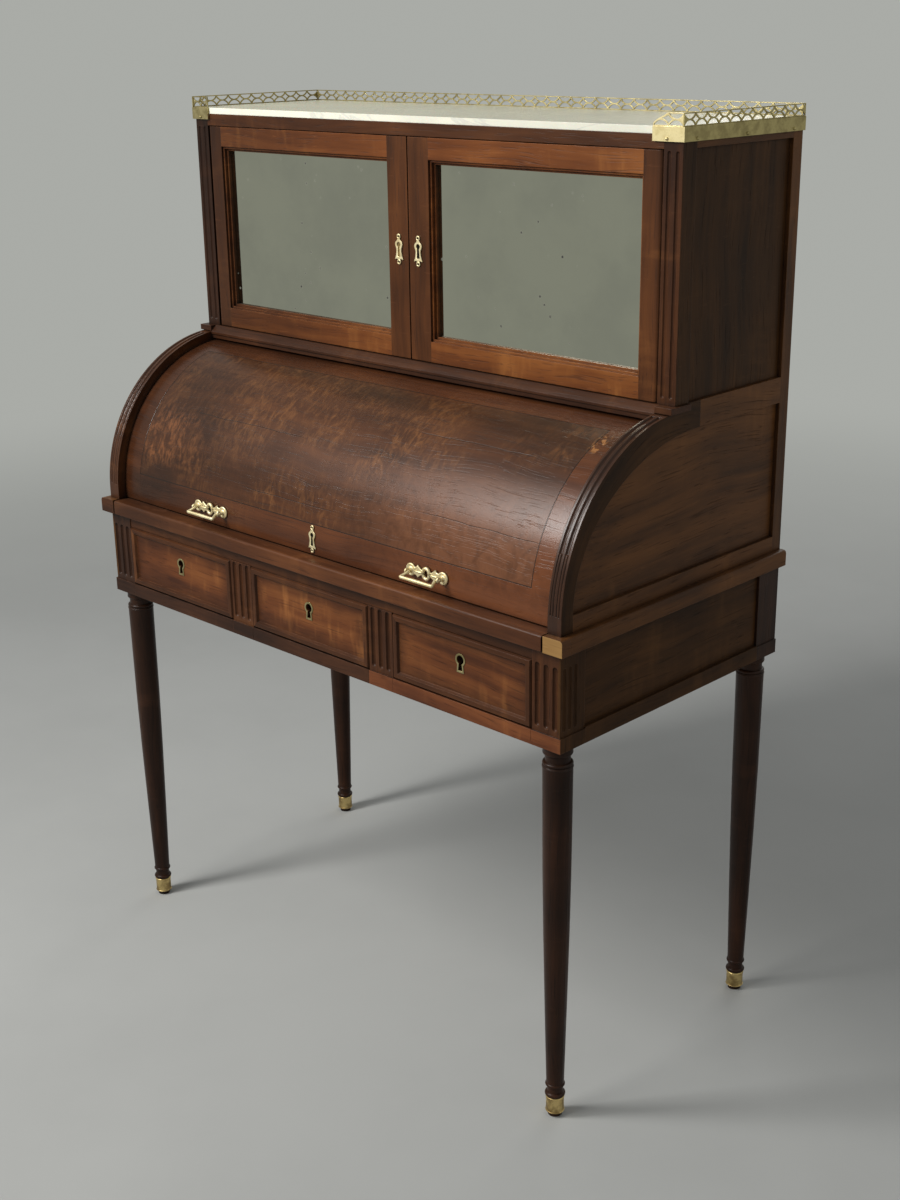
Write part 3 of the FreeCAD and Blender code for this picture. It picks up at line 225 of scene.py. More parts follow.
# in each tone, wear sets how far edges lighten, part wear and part painted highlight, and grime how far
# corners darken, part dirt and part painted shade
woodLook = {
    "mahogany": {
        "dark": (0.027, 0.0086, 0.0028), "mid": (0.057, 0.0184, 0.0054), "light": (0.1, 0.0335, 0.0096),
        "flame": (0.19, 0.071, 0.02), "figure": 0.3, "rough": 0.4, "wear": 0.55, "grime": 0.8},
    "slideMahogany": {
        "dark": (0.05, 0.0158, 0.0056), "mid": (0.094, 0.031, 0.0105), "light": (0.15, 0.052, 0.017),
        "flame": (0.24, 0.092, 0.028), "figure": 0.3, "rough": 0.4, "wear": 0.55, "grime": 0.75,
        "leftAge": 0.5},
    "redMahogany": {
        "dark": (0.058, 0.0165, 0.006), "mid": (0.126, 0.037, 0.0118), "light": (0.205, 0.065, 0.02),
        "flame": (0.32, 0.115, 0.034), "figure": 0.45, "rough": 0.4, "wear": 0.5, "grime": 0.75},
    "doorMahogany": {
        "dark": (0.075, 0.021, 0.0058), "mid": (0.15, 0.045, 0.0108), "light": (0.235, 0.079, 0.019),
        "flame": (0.36, 0.138, 0.034), "figure": 0.55, "rough": 0.38, "wear": 0.4, "grime": 0.85,
        "leftAge": 0.56},
    "stileMahogany": {
        "dark": (0.038, 0.0124, 0.0038), "mid": (0.079, 0.0255, 0.0072), "light": (0.13, 0.0435, 0.0118),
        "flame": (0.22, 0.082, 0.022), "figure": 0.4, "rough": 0.38, "wear": 0.4, "grime": 0.85,
        "leftAge": 0.58},
    "darkMahogany": {
        "dark": (0.0108, 0.0043, 0.0021), "mid": (0.0235, 0.0086, 0.0038), "light": (0.046, 0.0168, 0.007),
        "flame": (0.09, 0.034, 0.014), "figure": 0.2, "rough": 0.34, "wear": 0.45, "grime": 0.7},
    "sideMahogany": {
        "dark": (0.025, 0.0104, 0.0032), "mid": (0.056, 0.0228, 0.0064), "light": (0.09, 0.037, 0.0108),
        "flame": (0.135, 0.058, 0.018), "figure": 0.3, "rough": 0.44, "wear": 0.45, "grime": 0.7,
        "shine": 0.11},
    # painted light: a lighter copy of the mahogany for the side frames, rails and mouldings
    "railMahogany": {
        "dark": (0.058, 0.0225, 0.007), "mid": (0.124, 0.048, 0.0135), "light": (0.19, 0.075, 0.0215),
        "flame": (0.26, 0.105, 0.031), "figure": 0.3, "rough": 0.44, "wear": 0.6, "grime": 0.75},
    "baseMahogany": {
        "dark": (0.021, 0.0072, 0.0029), "mid": (0.042, 0.0142, 0.0053), "light": (0.074, 0.0255, 0.009),
        "flame": (0.14, 0.054, 0.018), "figure": 0.3, "rough": 0.4, "wear": 0.75, "grime": 0.8},
    "cheekMahogany": {
        "dark": (0.026, 0.0084, 0.0028), "mid": (0.055, 0.0178, 0.0054), "light": (0.098, 0.033, 0.0098),
        "flame": (0.185, 0.07, 0.02), "figure": 0.3, "rough": 0.29, "wear": 0.8, "grime": 0.85,
        "shine": 0.34},
    "fieldMahogany": {
        "dark": (0.054, 0.015, 0.0048), "mid": (0.128, 0.038, 0.01), "light": (0.215, 0.073, 0.0195),
        "flame": (0.39, 0.15, 0.041), "figure": 0.7, "rough": 0.38, "wear": 0.4, "grime": 0.85},
    "cylinderField": {
        "dark": (0.036, 0.0122, 0.0046), "mid": (0.066, 0.022, 0.0078), "light": (0.102, 0.035, 0.0118),
        "flame": (0.245, 0.098, 0.029), "figure": 0.0, "rough": 0.31, "wear": 0.3, "grime": 0.6,
        "shine": 0.28},
    "cylinderBorder": {
        "dark": (0.05, 0.015, 0.0054), "mid": (0.1, 0.031, 0.0104), "light": (0.155, 0.05, 0.016),
        "flame": (0.25, 0.092, 0.027), "figure": 0.3, "rough": 0.25},
    "oldOak": {
        "dark": (0.11, 0.061, 0.026), "mid": (0.205, 0.122, 0.056), "light": (0.29, 0.185, 0.092),
        "flame": (0.36, 0.24, 0.129), "figure": 0.2, "rough": 0.62, "wear": 0.3, "grime": 0.6,
        "coat": 0.0},
    "bareBlock": {
        "dark": (0.24, 0.125, 0.04), "mid": (0.4, 0.23, 0.08), "light": (0.54, 0.34, 0.135),
        "flame": (0.62, 0.41, 0.175), "figure": 0.3, "rough": 0.6, "wear": 0.2, "grime": 0.5,
        "coat": 0.0},
}
axisPlace = {"X": 0, "Y": 1, "Z": 2}
grainLook = {
    "broad": (2.4, 42.0, 4.0, 0.6),  # waves a metre along and across the grain, detail, roughness
    "pores": (11.0, 460.0, 2.0, 0.55),
    "curl": (30.0, 8.0, 3.0, 0.6),
    "patch": ((5.0, 5.0, 5.0), 3.0, 0.5),
    "drift": {"Scale": 3.1, "Detail": 2.0}, "sway": 0.045,  # how the grain wanders
    "shift": (1.0, 1.7, 0.6), "axisShift": 0.37, "arcShift": 0.3,
    "broadShare": 0.55, "patchShare": 0.45, "stops": (0.36, 0.5, 0.64),
    "curled": (0.5, 0.72), "flamed": (0.42, 0.6),
    "pitted": (0.56, 0.72), "pitDepth": 0.5, "pitTone": 0.35,
    "smooth": 0.05, "patchRough": 0.1, "pitRough": 0.18, "broadHeight": 0.25,
}


def woodGrain(vector, look, axis, shift):
    # colour, roughness and height of one board whose grain runs along the axis
    drift = derive("ShaderNodeTexNoise", {"Vector": vector, **grainLook["drift"]}).outputs[1]
    sway = vectorCalc("SUBTRACT", {0: drift, 1: (noiseMiddle, noiseMiddle, noiseMiddle)})
    sway = vectorCalc("SCALE", {0: sway, 3: grainLook["sway"]})
    bent = vectorCalc("ADD", {0: vector, 1: sway})
    place = tuple(shift * part for part in grainLook["shift"])
    layers = []
    for key in ("broad", "pores", "curl"):
        along, across, detail, roughness = grainLook[key]
        scale = [across, across, across]
        scale[axisPlace[axis]] = along
        layers.append(grainNoise(bent, tuple(scale), place, detail, roughness))
    broad, pores, curl = layers
    scale, detail, roughness = grainLook["patch"]
    patch = grainNoise(vector, scale, place, detail, roughness)
    tone = plus(times(broad, grainLook["broadShare"]), times(patch, grainLook["patchShare"]))
    colour = ramp(tone, list(zip(grainLook["stops"], (look["dark"], look["mid"], look["light"]))))
    flame = times(span(curl, grainLook["curled"]), span(patch, grainLook["flamed"]))
    colour = mixColour(times(flame, look["figure"]), colour, look["flame"])
    pit = span(pores, grainLook["pitted"])
    pitColour = tuple(part * grainLook["pitTone"] for part in look["dark"])
    colour = mixColour(times(pit, grainLook["pitDepth"]), colour, pitColour)
    rough = plus(look["rough"] - grainLook["smooth"], times(patch, grainLook["patchRough"]))
    rough = plus(rough, times(pit, grainLook["pitRough"]))
    height = minus(times(broad, grainLook["broadHeight"]), pit)
    return colour, rough, height


polishLook = {
    "shine": 0.17, "coat": 0.03, "coatRough": 0.22,
    # edges lightened: part wear, part painted highlight
    "edgeRadius": 0.0014, "edge": (0.985, 0.86), "rubNoise": (42.0, 3.0, 0.6), "rubbed": (0.4, 0.58),
    "wornGain": 1.7, "wornLift": 0.02,
    # corners darkened: part dirt, part painted shade
    "cornerReach": 0.016, "corner": (0.8, 0.34), "dirt": (0.01, 0.0055, 0.0035), "dirtRough": 0.2,
    "scratchScale": (31.0, 47.0, 260.0), "scratchNoise": (2.0, 0.5, 0.4), "scratch": (0.66, 0.72),
    "scratchDepth": 0.1, "bump": 0.32, "bumpDepth": 0.0005,
}


def polishWood(shader, vector, grain, look, scratchScale=polishLook["scratchScale"]):
    # edges lightened as wear and painted highlight, corners darkened as dirt and painted shade, scratches,
    # and a thin coat of polish
    colour, rough, height = grain
    soft = softEdge(shader, polishLook["edgeRadius"])
    facing = vectorCalc("DOT_PRODUCT", {0: soft, 1: faceNormal(shader)}, "Value")
    rubbed = span(noise(vector, *polishLook["rubNoise"]), polishLook["rubbed"])
    # rubbed edges lightened: part wear, part painted highlight
    edge = times(span(facing, polishLook["edge"]), rubbed)
    worn = tuple(min(1.0, part * polishLook["wornGain"] + polishLook["wornLift"]) for part in look["light"])
    colour = mixColour(times(edge, look["wear"]), colour, worn)
    # corners darkened by occlusion: part dirt, part painted shade
    corner = span(cornerShade(shader, polishLook["cornerReach"]), polishLook["corner"])
    dirt = times(corner, look["grime"])
    colour = mixColour(dirt, colour, polishLook["dirt"])
    scratch = grainNoise(vector, scratchScale, noShift, *polishLook["scratchNoise"])
    mark = times(span(scratch, polishLook["scratch"]), polishLook["scratchDepth"])
    feed(shader, {
        "Base Color": mixColour(mark, colour, worn),
        "Roughness": plus(rough, times(dirt, polishLook["dirtRough"])),
        "Specular IOR Level": look.get("shine", polishLook["shine"]),
        "Coat Weight": look.get("coat", polishLook["coat"]),
        "Coat Roughness": polishLook["coatRough"]})
    setBump(shader, polishLook["bump"], polishLook["bumpDepth"], height, soft)


fieldShade = {
    "middles": (-0.32367, 0.0, 0.32367), "halfWidth": 0.1236, "halfHeight": 0.0388, "height": 0.6795,
    "noise": (26.0, 3.0), "uneven": 0.03, "fade": (0.004, 0.044), "depth": 0.62,
    "colour": (0.02, 0.0065, 0.0025),
}


def shadeField(vector, colour):
    # a drawer's field darker towards its edges
    place = splitAxes(vector)
    away = smallest(*[apart(place["X"], middle) for middle in fieldShade["middles"]])
    toSide = minus(fieldShade["halfWidth"], away)
    toEnd = minus(fieldShade["halfHeight"], apart(place["Z"], fieldShade["height"]))
    uneven = times(noise(vector, *fieldShade["noise"]), fieldShade["uneven"])
    inner = span(plus(smallest(toSide, toEnd), uneven), fieldShade["fade"])
    outer = times(minus(1.0, inner), fieldShade["depth"])
    return mixColour(outer, colour, fieldShade["colour"])


leftDarkLook = {"reach": (0.02, -0.47), "colour": (0.014, 0.0062, 0.0036)}


def darkenLeft(vector, colour, depth):
    # darker towards the left end
    darkened = span(splitAxes(vector)["X"], leftDarkLook["reach"], (0.0, depth))
    return mixColour(darkened, colour, leftDarkLook["colour"])


finishes = {}


def wood(tone, axis):
    # one finish for each tone and direction of grain, made when first asked for
    name = tone + axis
    if name not in finishes:
        finish, shader, vector = newFinish(name)
        look = woodLook[tone]
        if axis == "Arc":
            colour, rough, height = woodGrain(unrolled(vector)[0], look, "Y", grainLook["arcShift"])
        else:
            shift = grainLook["axisShift"] * axisPlace[axis]
            colour, rough, height = woodGrain(vector, look, axis, shift)
        if tone == "fieldMahogany":
            colour = shadeField(vector, colour)
        if "leftAge" in look:
            colour = darkenLeft(vector, colour, look["leftAge"])
        polishWood(shader, vector, (colour, rough, height), look)
        finishes[name] = finish
    return finishes[name]


# veneer of the rolling cylinder: a figured field inside plain borders

veneerLook = {
    "halfField": 0.443, "lowRun": 0.0335, "highRun": 0.294, "fieldShift": 0.8, "borderShift": 2.1,
    # scale, shift, detail, roughness, distortion
    "cloud": ((7.5, 12.0, 1.0), (0.35, 0.6, 0.0), 3.0, 0.55),
    "fine": ((125.0, 40.0, 1.0), (0.2, 0.1, 0.0), 4.0, 0.62, 1.1),
    "wide": ((44.0, 34.0, 1.0), (0.7, 0.4, 0.0), 4.0, 0.62, 1.4),
    "leanSide": -0.16, "leanRun": 0.45, "spread": (0.4, 0.72), "mottle": 0.6,
    "fineStreak": (0.44, 0.7), "fineShare": 0.62, "wideStreak": (0.46, 0.7), "wideShare": 0.55,
    # painted shade: the veneer darker to the left and along the top
    "old": (0.018, 0.0075, 0.0038), "oldSide": (0.05, -0.42), "oldTop": (0.17, 0.28), "oldTopShare": 0.55,
    "oldCloud": (0.3, 0.62), "oldDepth": (0.76, 0.456), "oldBorder": 1.15,
    # painted light: the veneer lighter low down on the right
    "faded": (0.205, 0.08, 0.036), "fadedBorder": (0.2, 0.064, 0.022), "fadeSide": (-0.05, 0.34),
    "fadeRun": (0.19, 0.1), "fadeWide": (0.3, 0.62), "fadeDepth": (0.35, 0.7), "fadeBorder": 0.7,
    "patch": (0.22, 0.078, 0.028), "patchSide": (-0.26, -0.4), "patchFoot": (0.045, 0.085),
    "patchHead": (0.185, 0.125), "patchWide": (0.4, 0.62), "patchFine": (0.38, 0.62), "patchDepth": 0.55,
    "chip": (0.4, 0.175, 0.055), "chipSide": 0.45, "chipRun": 0.262, "chipWide": (0.013, 0.005),
    "chipTall": (0.026, 0.012), "chipNoise": ((110.0, 75.0, 1.0), (3.1, 1.4, 0.0), 3.0, 0.6),
    "chipped": (0.54, 0.6), "chipDepth": 0.75,
    "line": (0.0011, 0.000385), "lineColour": (0.01, 0.006, 0.004), "lineDepth": 0.85,
    "cracks": ((0.094, 0.2, 0.47), (0.214, 0.12, 0.4), (0.16, -0.36, -0.05), (0.06, -0.2, 0.06)),
    "crackEnd": 0.05, "crackWidth": (0.0008, 0.0002), "crackColour": (0.012, 0.007, 0.005),
    "crackDepth": 0.8, "waver": ((9.0, 0.0, 0.0), noShift, 3.0), "waverReach": 0.01, "cut": 2.0,
    "scratchScale": (31.0, 260.0, 47.0),
}


def cylinderVeneer():
    look = veneerLook
    finish, shader, vector = newFinish("cylinderVeneer")
    lay, side, run = unrolled(vector)
    fieldLook = woodLook["cylinderField"]
    colour, rough, height = woodGrain(lay, fieldLook, "X", look["fieldShift"])
    # short light streaks across the grain, thickest to the left and along the top
    cloud, fine, wide = [grainNoise(lay, *look[key]) for key in ("cloud", "fine", "wide")]
    lean = plus(times(side, look["leanSide"]), times(run, look["leanRun"]))
    streak = plus(times(span(fine, look["fineStreak"]), look["fineShare"]),
                  times(span(wide, look["wideStreak"]), look["wideShare"]), True)
    light = times(span(plus(cloud, lean), look["spread"]), streak)
    colour = mixColour(times(light, look["mottle"]), colour, fieldLook["flame"])
    # painted shade, darker to the left and along the top
    darkened = largest(span(side, look["oldSide"]),
                   times(span(run, look["oldTop"]), look["oldTopShare"]))
    darkened = times(darkened, span(cloud, look["oldCloud"], look["oldDepth"]))
    colour = mixColour(darkened, colour, look["old"])
    # painted light, lighter low down on the right
    paintedLight = times(span(side, look["fadeSide"]), span(run, look["fadeRun"]))
    paintedLight = times(paintedLight, span(wide, look["fadeWide"], look["fadeDepth"]))
    colour = mixColour(paintedLight, colour, look["faded"])
    # a lighter patch at the left end
    glow = span(side, look["patchSide"])
    for value, limits in ((run, "patchFoot"), (run, "patchHead"), (wide, "patchWide"), (fine, "patchFine")):
        glow = times(glow, span(value, look[limits]))
    colour = mixColour(times(glow, look["patchDepth"]), colour, look["patch"])
    # the borders, outside the field on any side
    outside = largest(minus(calc("ABSOLUTE", side), look["halfField"]),
                      minus(look["lowRun"], run), minus(run, look["highRun"]))
    inField = calc("LESS_THAN", outside, 0.0)
    border = woodGrain(lay, woodLook["cylinderBorder"], "X", look["borderShift"])
    # the painted light runs on into the borders
    borderColour = mixColour(times(paintedLight, look["fadeBorder"]), border[0], look["fadedBorder"])
    # the painted shade runs on into the borders
    borderColour = mixColour(times(darkened, look["oldBorder"]), borderColour, look["old"])
    colour = mixColour(inField, borderColour, colour)
    rough = plus(border[1], times(inField, minus(rough, border[1])))
    height = plus(border[2], times(inField, minus(height, border[2])))
    # chips at the upper right corner of the border
    chip = times(span(apart(side, look["chipSide"]), look["chipWide"]),
                 span(apart(run, look["chipRun"]), look["chipTall"]))
    chip = times(chip, span(grainNoise(lay, *look["chipNoise"]), look["chipped"]))
    colour = mixColour(times(chip, look["chipDepth"]), colour, look["chip"])
    # the dark joint between field and borders
    joint = span(calc("ABSOLUTE", outside), look["line"])
    colour = mixColour(times(joint, look["lineDepth"]), colour, look["lineColour"])
    # long shrinkage cracks along the grain
    waver = times(minus(grainNoise(lay, *look["waver"]), noiseMiddle), look["waverReach"])
    bentRun = plus(run, waver)
    threads = []
    for place, low, high in look["cracks"]:
        thread = span(apart(bentRun, place), look["crackWidth"])
        ends = times(span(side, (low, low + look["crackEnd"])),
                     span(side, (high, high - look["crackEnd"])))
        threads.append(times(thread, ends))
    cracks = largest(*threads)
    colour = mixColour(times(cracks, look["crackDepth"]), colour, look["crackColour"])
    height = minus(height, times(plus(joint, cracks), look["cut"]))
    polishWood(shader, lay, (colour, rough, height), fieldLook, look["scratchScale"])
    return finish


# brass, marble, mirror, leather, iron

brassLook = {
    "pullBrass": {"bright": (0.86, 0.75, 0.47), "dull": (0.7, 0.58, 0.32), "dirt": (0.13, 0.095, 0.042),
                  "rough": 0.44, "metal": 0.78},
    # painted light and shade on the gallery: a lit copy for the right return's front, a shaded copy for the
    # side strips; the back's brass is darkened to paint a dark reflection
    "returnBrass": {"bright": (0.76, 0.65, 0.36), "dull": (0.58, 0.48, 0.24), "dirt": (0.06, 0.046, 0.022),
                    "rough": 0.38},
    "sideBrass": {"bright": (0.47, 0.395, 0.175), "dull": (0.33, 0.27, 0.118), "dirt": (0.03, 0.024, 0.012),
                  "rough": 0.42},
    "galleryBrass": {"bright": (0.44, 0.375, 0.19), "dull": (0.27, 0.225, 0.105),
                     "dirt": (0.04, 0.031, 0.015), "rough": 0.4},
    "sabotBrass": {"bright": (0.66, 0.5, 0.22), "dull": (0.32, 0.22, 0.09), "dirt": (0.03, 0.021, 0.01),
                   "rough": 0.34},
    "lockBrass": {"bright": (0.52, 0.41, 0.19), "dull": (0.26, 0.19, 0.08), "dirt": (0.03, 0.021, 0.01),
                  "rough": 0.42},
}
brassWear = {
    "bloomNoise": (55.0, 4.0, 0.6), "bloom": (0.4, 0.64), "fleckNoise": (420.0, 3.0, 0.6),
    "fleck": (0.64, 0.74), "fleckDepth": 0.5, "cornerReach": 0.0035, "corner": (0.78, 0.3),
    "cornerDepth": 0.8, "smooth": 0.05, "bloomRough": 0.16, "stainRough": 0.3, "edgeRadius": 0.0005,
    "bump": 0.22, "bumpDepth": 0.0003,
}


def brass(name):
    if name not in finishes:
        look, wear = brassLook[name], brassWear
        finish, shader, vector = newFinish(name)
        bloom = noise(vector, *wear["bloomNoise"])
        fleck = noise(vector, *wear["fleckNoise"])
        colour = mixColour(span(bloom, wear["bloom"]), look["bright"], look["dull"])
        corner = span(cornerShade(shader, wear["cornerReach"]), wear["corner"])
        stain = largest(times(corner, wear["cornerDepth"]),
                        times(span(fleck, wear["fleck"]), wear["fleckDepth"]))
        uneven = plus(times(bloom, wear["bloomRough"]), times(stain, wear["stainRough"]))
        feed(shader, {
            "Base Color": mixColour(stain, colour, look["dirt"]),
            "Roughness": plus(look["rough"] - wear["smooth"], uneven),
            "Metallic": look.get("metal", 1.0)})
        setBump(shader, wear["bump"], wear["bumpDepth"], fleck, softEdge(shader, wear["edgeRadius"]))
        finishes[name] = finish
    return finishes[name]


marbleLook = {
    "white": (0.84, 0.815, 0.68), "grey": (0.74, 0.72, 0.61), "cloudNoise": (7.0, 4.0, 0.6),
    "cloud": (0.35, 0.7), "veinNoise": ((3.2, 5.5, 9.0), noShift, 6.0, 0.6, 1.2), "vein": (0.02, 0.0),
    "veinColour": (0.42, 0.43, 0.43), "veinDepth": 0.35, "stainNoise": (16.0, 3.0), "stain": (0.6, 0.75),
    "stainColour": (0.62, 0.54, 0.4), "stainDepth": 0.25, "film": (0.74, 0.73, 0.64), "upward": (0.5, 0.9),
    "crystalNoise": (900.0, 2.0), "crystal": (0.3, 0.7), "rough": (0.22, 0.34), "edgeRadius": 0.0016,
    "bump": 0.08, "bumpDepth": 0.0004, "glow": 0.05,
}


def whiteMarble():
    look = marbleLook
    finish, shader, vector = newFinish("whiteMarble")
    cloud = noise(vector, *look["cloudNoise"])
    colour = mixColour(span(cloud, look["cloud"]), look["white"], look["grey"])
    vein = span(apart(grainNoise(vector, *look["veinNoise"]), noiseMiddle), look["vein"])
    colour = mixColour(times(vein, look["veinDepth"]), colour, look["veinColour"])
    stain = span(noise(vector, *look["stainNoise"]), look["stain"])
    colour = mixColour(times(stain, look["stainDepth"]), colour, look["stainColour"])
    # painted shade, darker on the top face only
    upward = span(splitAxes(faceNormal(shader))["Z"], look["upward"])
    crystal = noise(vector, *look["crystalNoise"])
    feed(shader, {
        "Base Color": mixColour(upward, colour, look["film"], "MULTIPLY"),
        "Roughness": span(crystal, look["crystal"], look["rough"]),
        "Subsurface Weight": look["glow"]})
    setBump(shader, look["bump"], look["bumpDepth"], cloud, softEdge(shader, look["edgeRadius"]))
    return finish


mirrorLook = {
    "silver": (0.5, 0.505, 0.41), "cloud": (0.45, 0.455, 0.375), "fox": (0.03, 0.03, 0.024),
    "hazeNoise": (6.0, 5.0, 0.6), "haze": (0.38, 0.66), "whereNoise": (9.0, 2.0),
    "speckScale": 46.0, "speck": (0.15, 0.06), "specked": (0.48, 0.6),
    "threadNoise": ((34.0, 34.0, 210.0), noShift, 2.0, 0.5, 1.5), "thread": (0.006, 0.0),
    "threaded": (0.6, 0.7), "threadDepth": 0.6, "dull": (0.4, 0.7), "rough": (0.03, 0.1),
    "foxRough": 0.5, "foxMatt": 0.9, "waveNoise": (4.0, 1.0), "wave": 0.03, "waveDepth": 0.0006,
}


def oldMirror():
    look = mirrorLook
    finish, shader, vector = newFinish("oldMirror")
    haze = noise(vector, *look["hazeNoise"])
    colour = mixColour(span(haze, look["haze"]), look["silver"], look["cloud"])
    where = noise(vector, *look["whereNoise"])
    speck = span(cells(vector, look["speckScale"]), look["speck"])
    thread = span(apart(grainNoise(vector, *look["threadNoise"]), noiseMiddle), look["thread"])
    scratch = times(times(thread, span(where, look["threaded"])), look["threadDepth"])
    damage = largest(times(speck, span(where, look["specked"])), scratch)
    rough = span(haze, look["dull"], look["rough"])
    feed(shader, {
        "Base Color": mixColour(damage, colour, look["fox"]),
        "Roughness": plus(rough, times(damage, look["foxRough"])),
        "Metallic": minus(1.0, times(damage, look["foxMatt"]))})
    setBump(shader, look["wave"], look["waveDepth"], noise(vector, *look["waveNoise"]))
    return finish


leatherLook = {
    "hide": (0.085, 0.026, 0.016), "rub": (0.19, 0.075, 0.04), "gilt": (0.55, 0.4, 0.15),
    "lines": ((0.01, 0.0012), (0.016, 0.0005)),  # distance from the edge and half width
    "lineCore": 0.6, "rubNoise": (11.0, 4.0, 0.6), "rubbed": (0.45, 0.7), "giltLeft": (0.66, 0.5),
    "worn": (0.4, 0.7), "rough": (0.5, 0.38), "grainScale": 620.0, "bump": 0.4, "bumpDepth": 0.0004,
}


def deskLeather():
    look = leatherLook
    finish, shader, vector = newFinish("deskLeather")
    low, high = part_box("writing_leather")
    place = splitAxes(vector)
    rub = noise(vector, *look["rubNoise"])
    colour = mixColour(span(rub, look["rubbed"]), look["hide"], look["rub"])
    toX = minus((high.x - low.x) / 2, calc("ABSOLUTE", place["X"]))
    toY = minus((high.y - low.y) / 2, apart(place["Y"], (low.y + high.y) / 2))
    toEdge = smallest(toX, toY)
    lines = [span(apart(toEdge, inset), (wide, wide * look["lineCore"])) for inset, wide in look["lines"]]
    gilt = times(largest(*lines), span(rub, look["giltLeft"]))
    feed(shader, {
        "Base Color": mixColour(gilt, colour, look["gilt"]),
        "Metallic": gilt,
        "Roughness": span(rub, look["worn"], look["rough"])})
    setBump(shader, look["bump"], look["bumpDepth"], cells(vector, look["grainScale"]))
    return finish


ironLook = {
    "dark": (0.03, 0.028, 0.026), "light": (0.085, 0.08, 0.075), "rust": (0.12, 0.045, 0.018),
    "scaleNoise": (90.0, 4.0, 0.65), "rustNoise": (24.0, 4.0, 0.6), "rusted": (0.55, 0.7), "rustDepth": 0.6,
    "scale": (0.3, 0.7), "rough": (0.45, 0.65), "metal": 0.8, "bump": 0.3, "bumpDepth": 0.0004,
}


def blackIron():
    look = ironLook
    finish, shader, vector = newFinish("blackIron")
    scale = noise(vector, *look["scaleNoise"])
    rust = times(span(noise(vector, *look["rustNoise"]), look["rusted"]), look["rustDepth"])
    colour = mixColour(scale, look["dark"], look["light"])
    feed(shader, {
        "Base Color": mixColour(rust, colour, look["rust"]),
        "Roughness": span(scale, look["scale"], look["rough"]),
        "Metallic": look["metal"]})
    setBump(shader, look["bump"], look["bumpDepth"], scale)
    return finish


# painted shade: a near-black plate for the inside of the keyholes
keyholeShadeLook = {"dark": (0.004, 0.003, 0.002), "dust": (0.012, 0.008, 0.005), "dustNoise": (300.0, 3.0),
              "dusty": (0.4, 0.7), "dull": (0.3, 0.7), "rough": (0.7, 0.9), "shine": 0.1}


def darkKeyway():
    look = keyholeShadeLook
    finish, shader, vector = newFinish("darkKeyway")
    dust = noise(vector, *look["dustNoise"])
    feed(shader, {
        "Base Color": mixColour(span(dust, look["dusty"]), look["dark"], look["dust"]),
        "Roughness": span(dust, look["dull"], look["rough"]),
        "Specular IOR Level": look["shine"]})
    return finish


# finishes of the carried-over nodes

def setFinish(node, choices, pick=None):
    # pick tells a face's place in the choices from its centre and its normal
    mesh = nodes[node].data
    mesh.materials.clear()
    for finish in choices:
        mesh.materials.append(finish)
    for face in mesh.polygons:
        face.material_index = pick(face.center, face.normal) if pick else 0


ironFinish, mirrorFinish, keyholeShade = blackIron(), oldMirror(), darkKeyway()
plainNodes = {
    ("darkMahogany", "Z"): ["leg_back_left", "leg_back_right"],
    ("mahogany", "X"): ["front_top_rail", "cabinet_top_rail", "interior_bed"],
    ("baseMahogany", "X"): ["cabinet_base_moulding"],
    ("slideMahogany", "X"): ["writing_slide"],
    ("sideMahogany", "Y"): ["frieze_side_left", "frieze_side_right"],
    ("railMahogany", "Y"): ["side_panels_lower"],
    ("sideMahogany", "Z"): ["side_panels_upper"],
    ("oldOak", "X"): ["frieze_back", "cabinet_floor", "cabinet_shelf", "cabinet_top_board"],
    ("oldOak", "Y"): ["drawer_carriers"],
    ("oldOak", "Z"): ["back_panel"],
}
for (tone, axis), names in plainNodes.items():
    for name in names:
        setFinish(name, [wood(tone, axis)])
for name, finish in (("cylinder_shell", cylinderVeneer()), ("cylinder_arms", ironFinish),
                     ("cylinder_pivots", ironFinish), ("marble_top", whiteMarble()),
                     ("writing_leather", deskLeather()), ("leg_sabots", brass("sabotBrass")),
                     ("door_hinge_pins", brass("lockBrass")), ("cylinder_lock", brass("lockBrass"))):
    setFinish(name, [finish])

faceLook = {
    "front": -0.2, "flatFront": -0.9, "back": 0.5, "side": 0.5,  # how far a face's normal leans that way
    "rearStile": 0.022, "postFoot": 0.606, "plinthHead": 0.628, "postSide": 0.5075, "endBlock": 0.001,
    "doorSight": (0.0442, 0.4469), "knobBack": -0.0012, "nestFrontBack": 0.0105, "frontBoard": 0.018,
    "fieldSlack": 0.0002, "glassSlack": 0.0001,
}
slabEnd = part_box("marble_top")[1].x
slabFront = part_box("marble_top")[0].y
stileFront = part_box("side_frame_right")[1].y - faceLook["rearStile"] - hair
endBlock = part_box("side_moulding_right")[0].y + faceLook["endBlock"]
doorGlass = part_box("door_mirror_right")[1].y
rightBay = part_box("fluted_stile_right")[1].x


# the gallery's faces take painted lit and shaded copies of one brass by place
def pickGallery(c, n):
    if c.y < slabFront + hair and 0 < c.x < slabEnd:
        return 1
    return 2 if abs(c.x) > slabEnd - hair else 0


def pickFrontLeg(c, n):
    if c.z < faceLook["postFoot"]:
        return 0
    if abs(c.x) > faceLook["postSide"]:
        return 3
    if n.y > faceLook["front"]:
        return 0
    return 2 if c.z < faceLook["plinthHead"] else 1


def pickDoor(c, n):
    inSight = faceLook["doorSight"][0] < abs(c.x) < faceLook["doorSight"][1]
    if inSight and c.y > doorGlass - faceLook["glassSlack"] and n.y > faceLook["back"]:
        return 2
    return 0 if inSight else 1


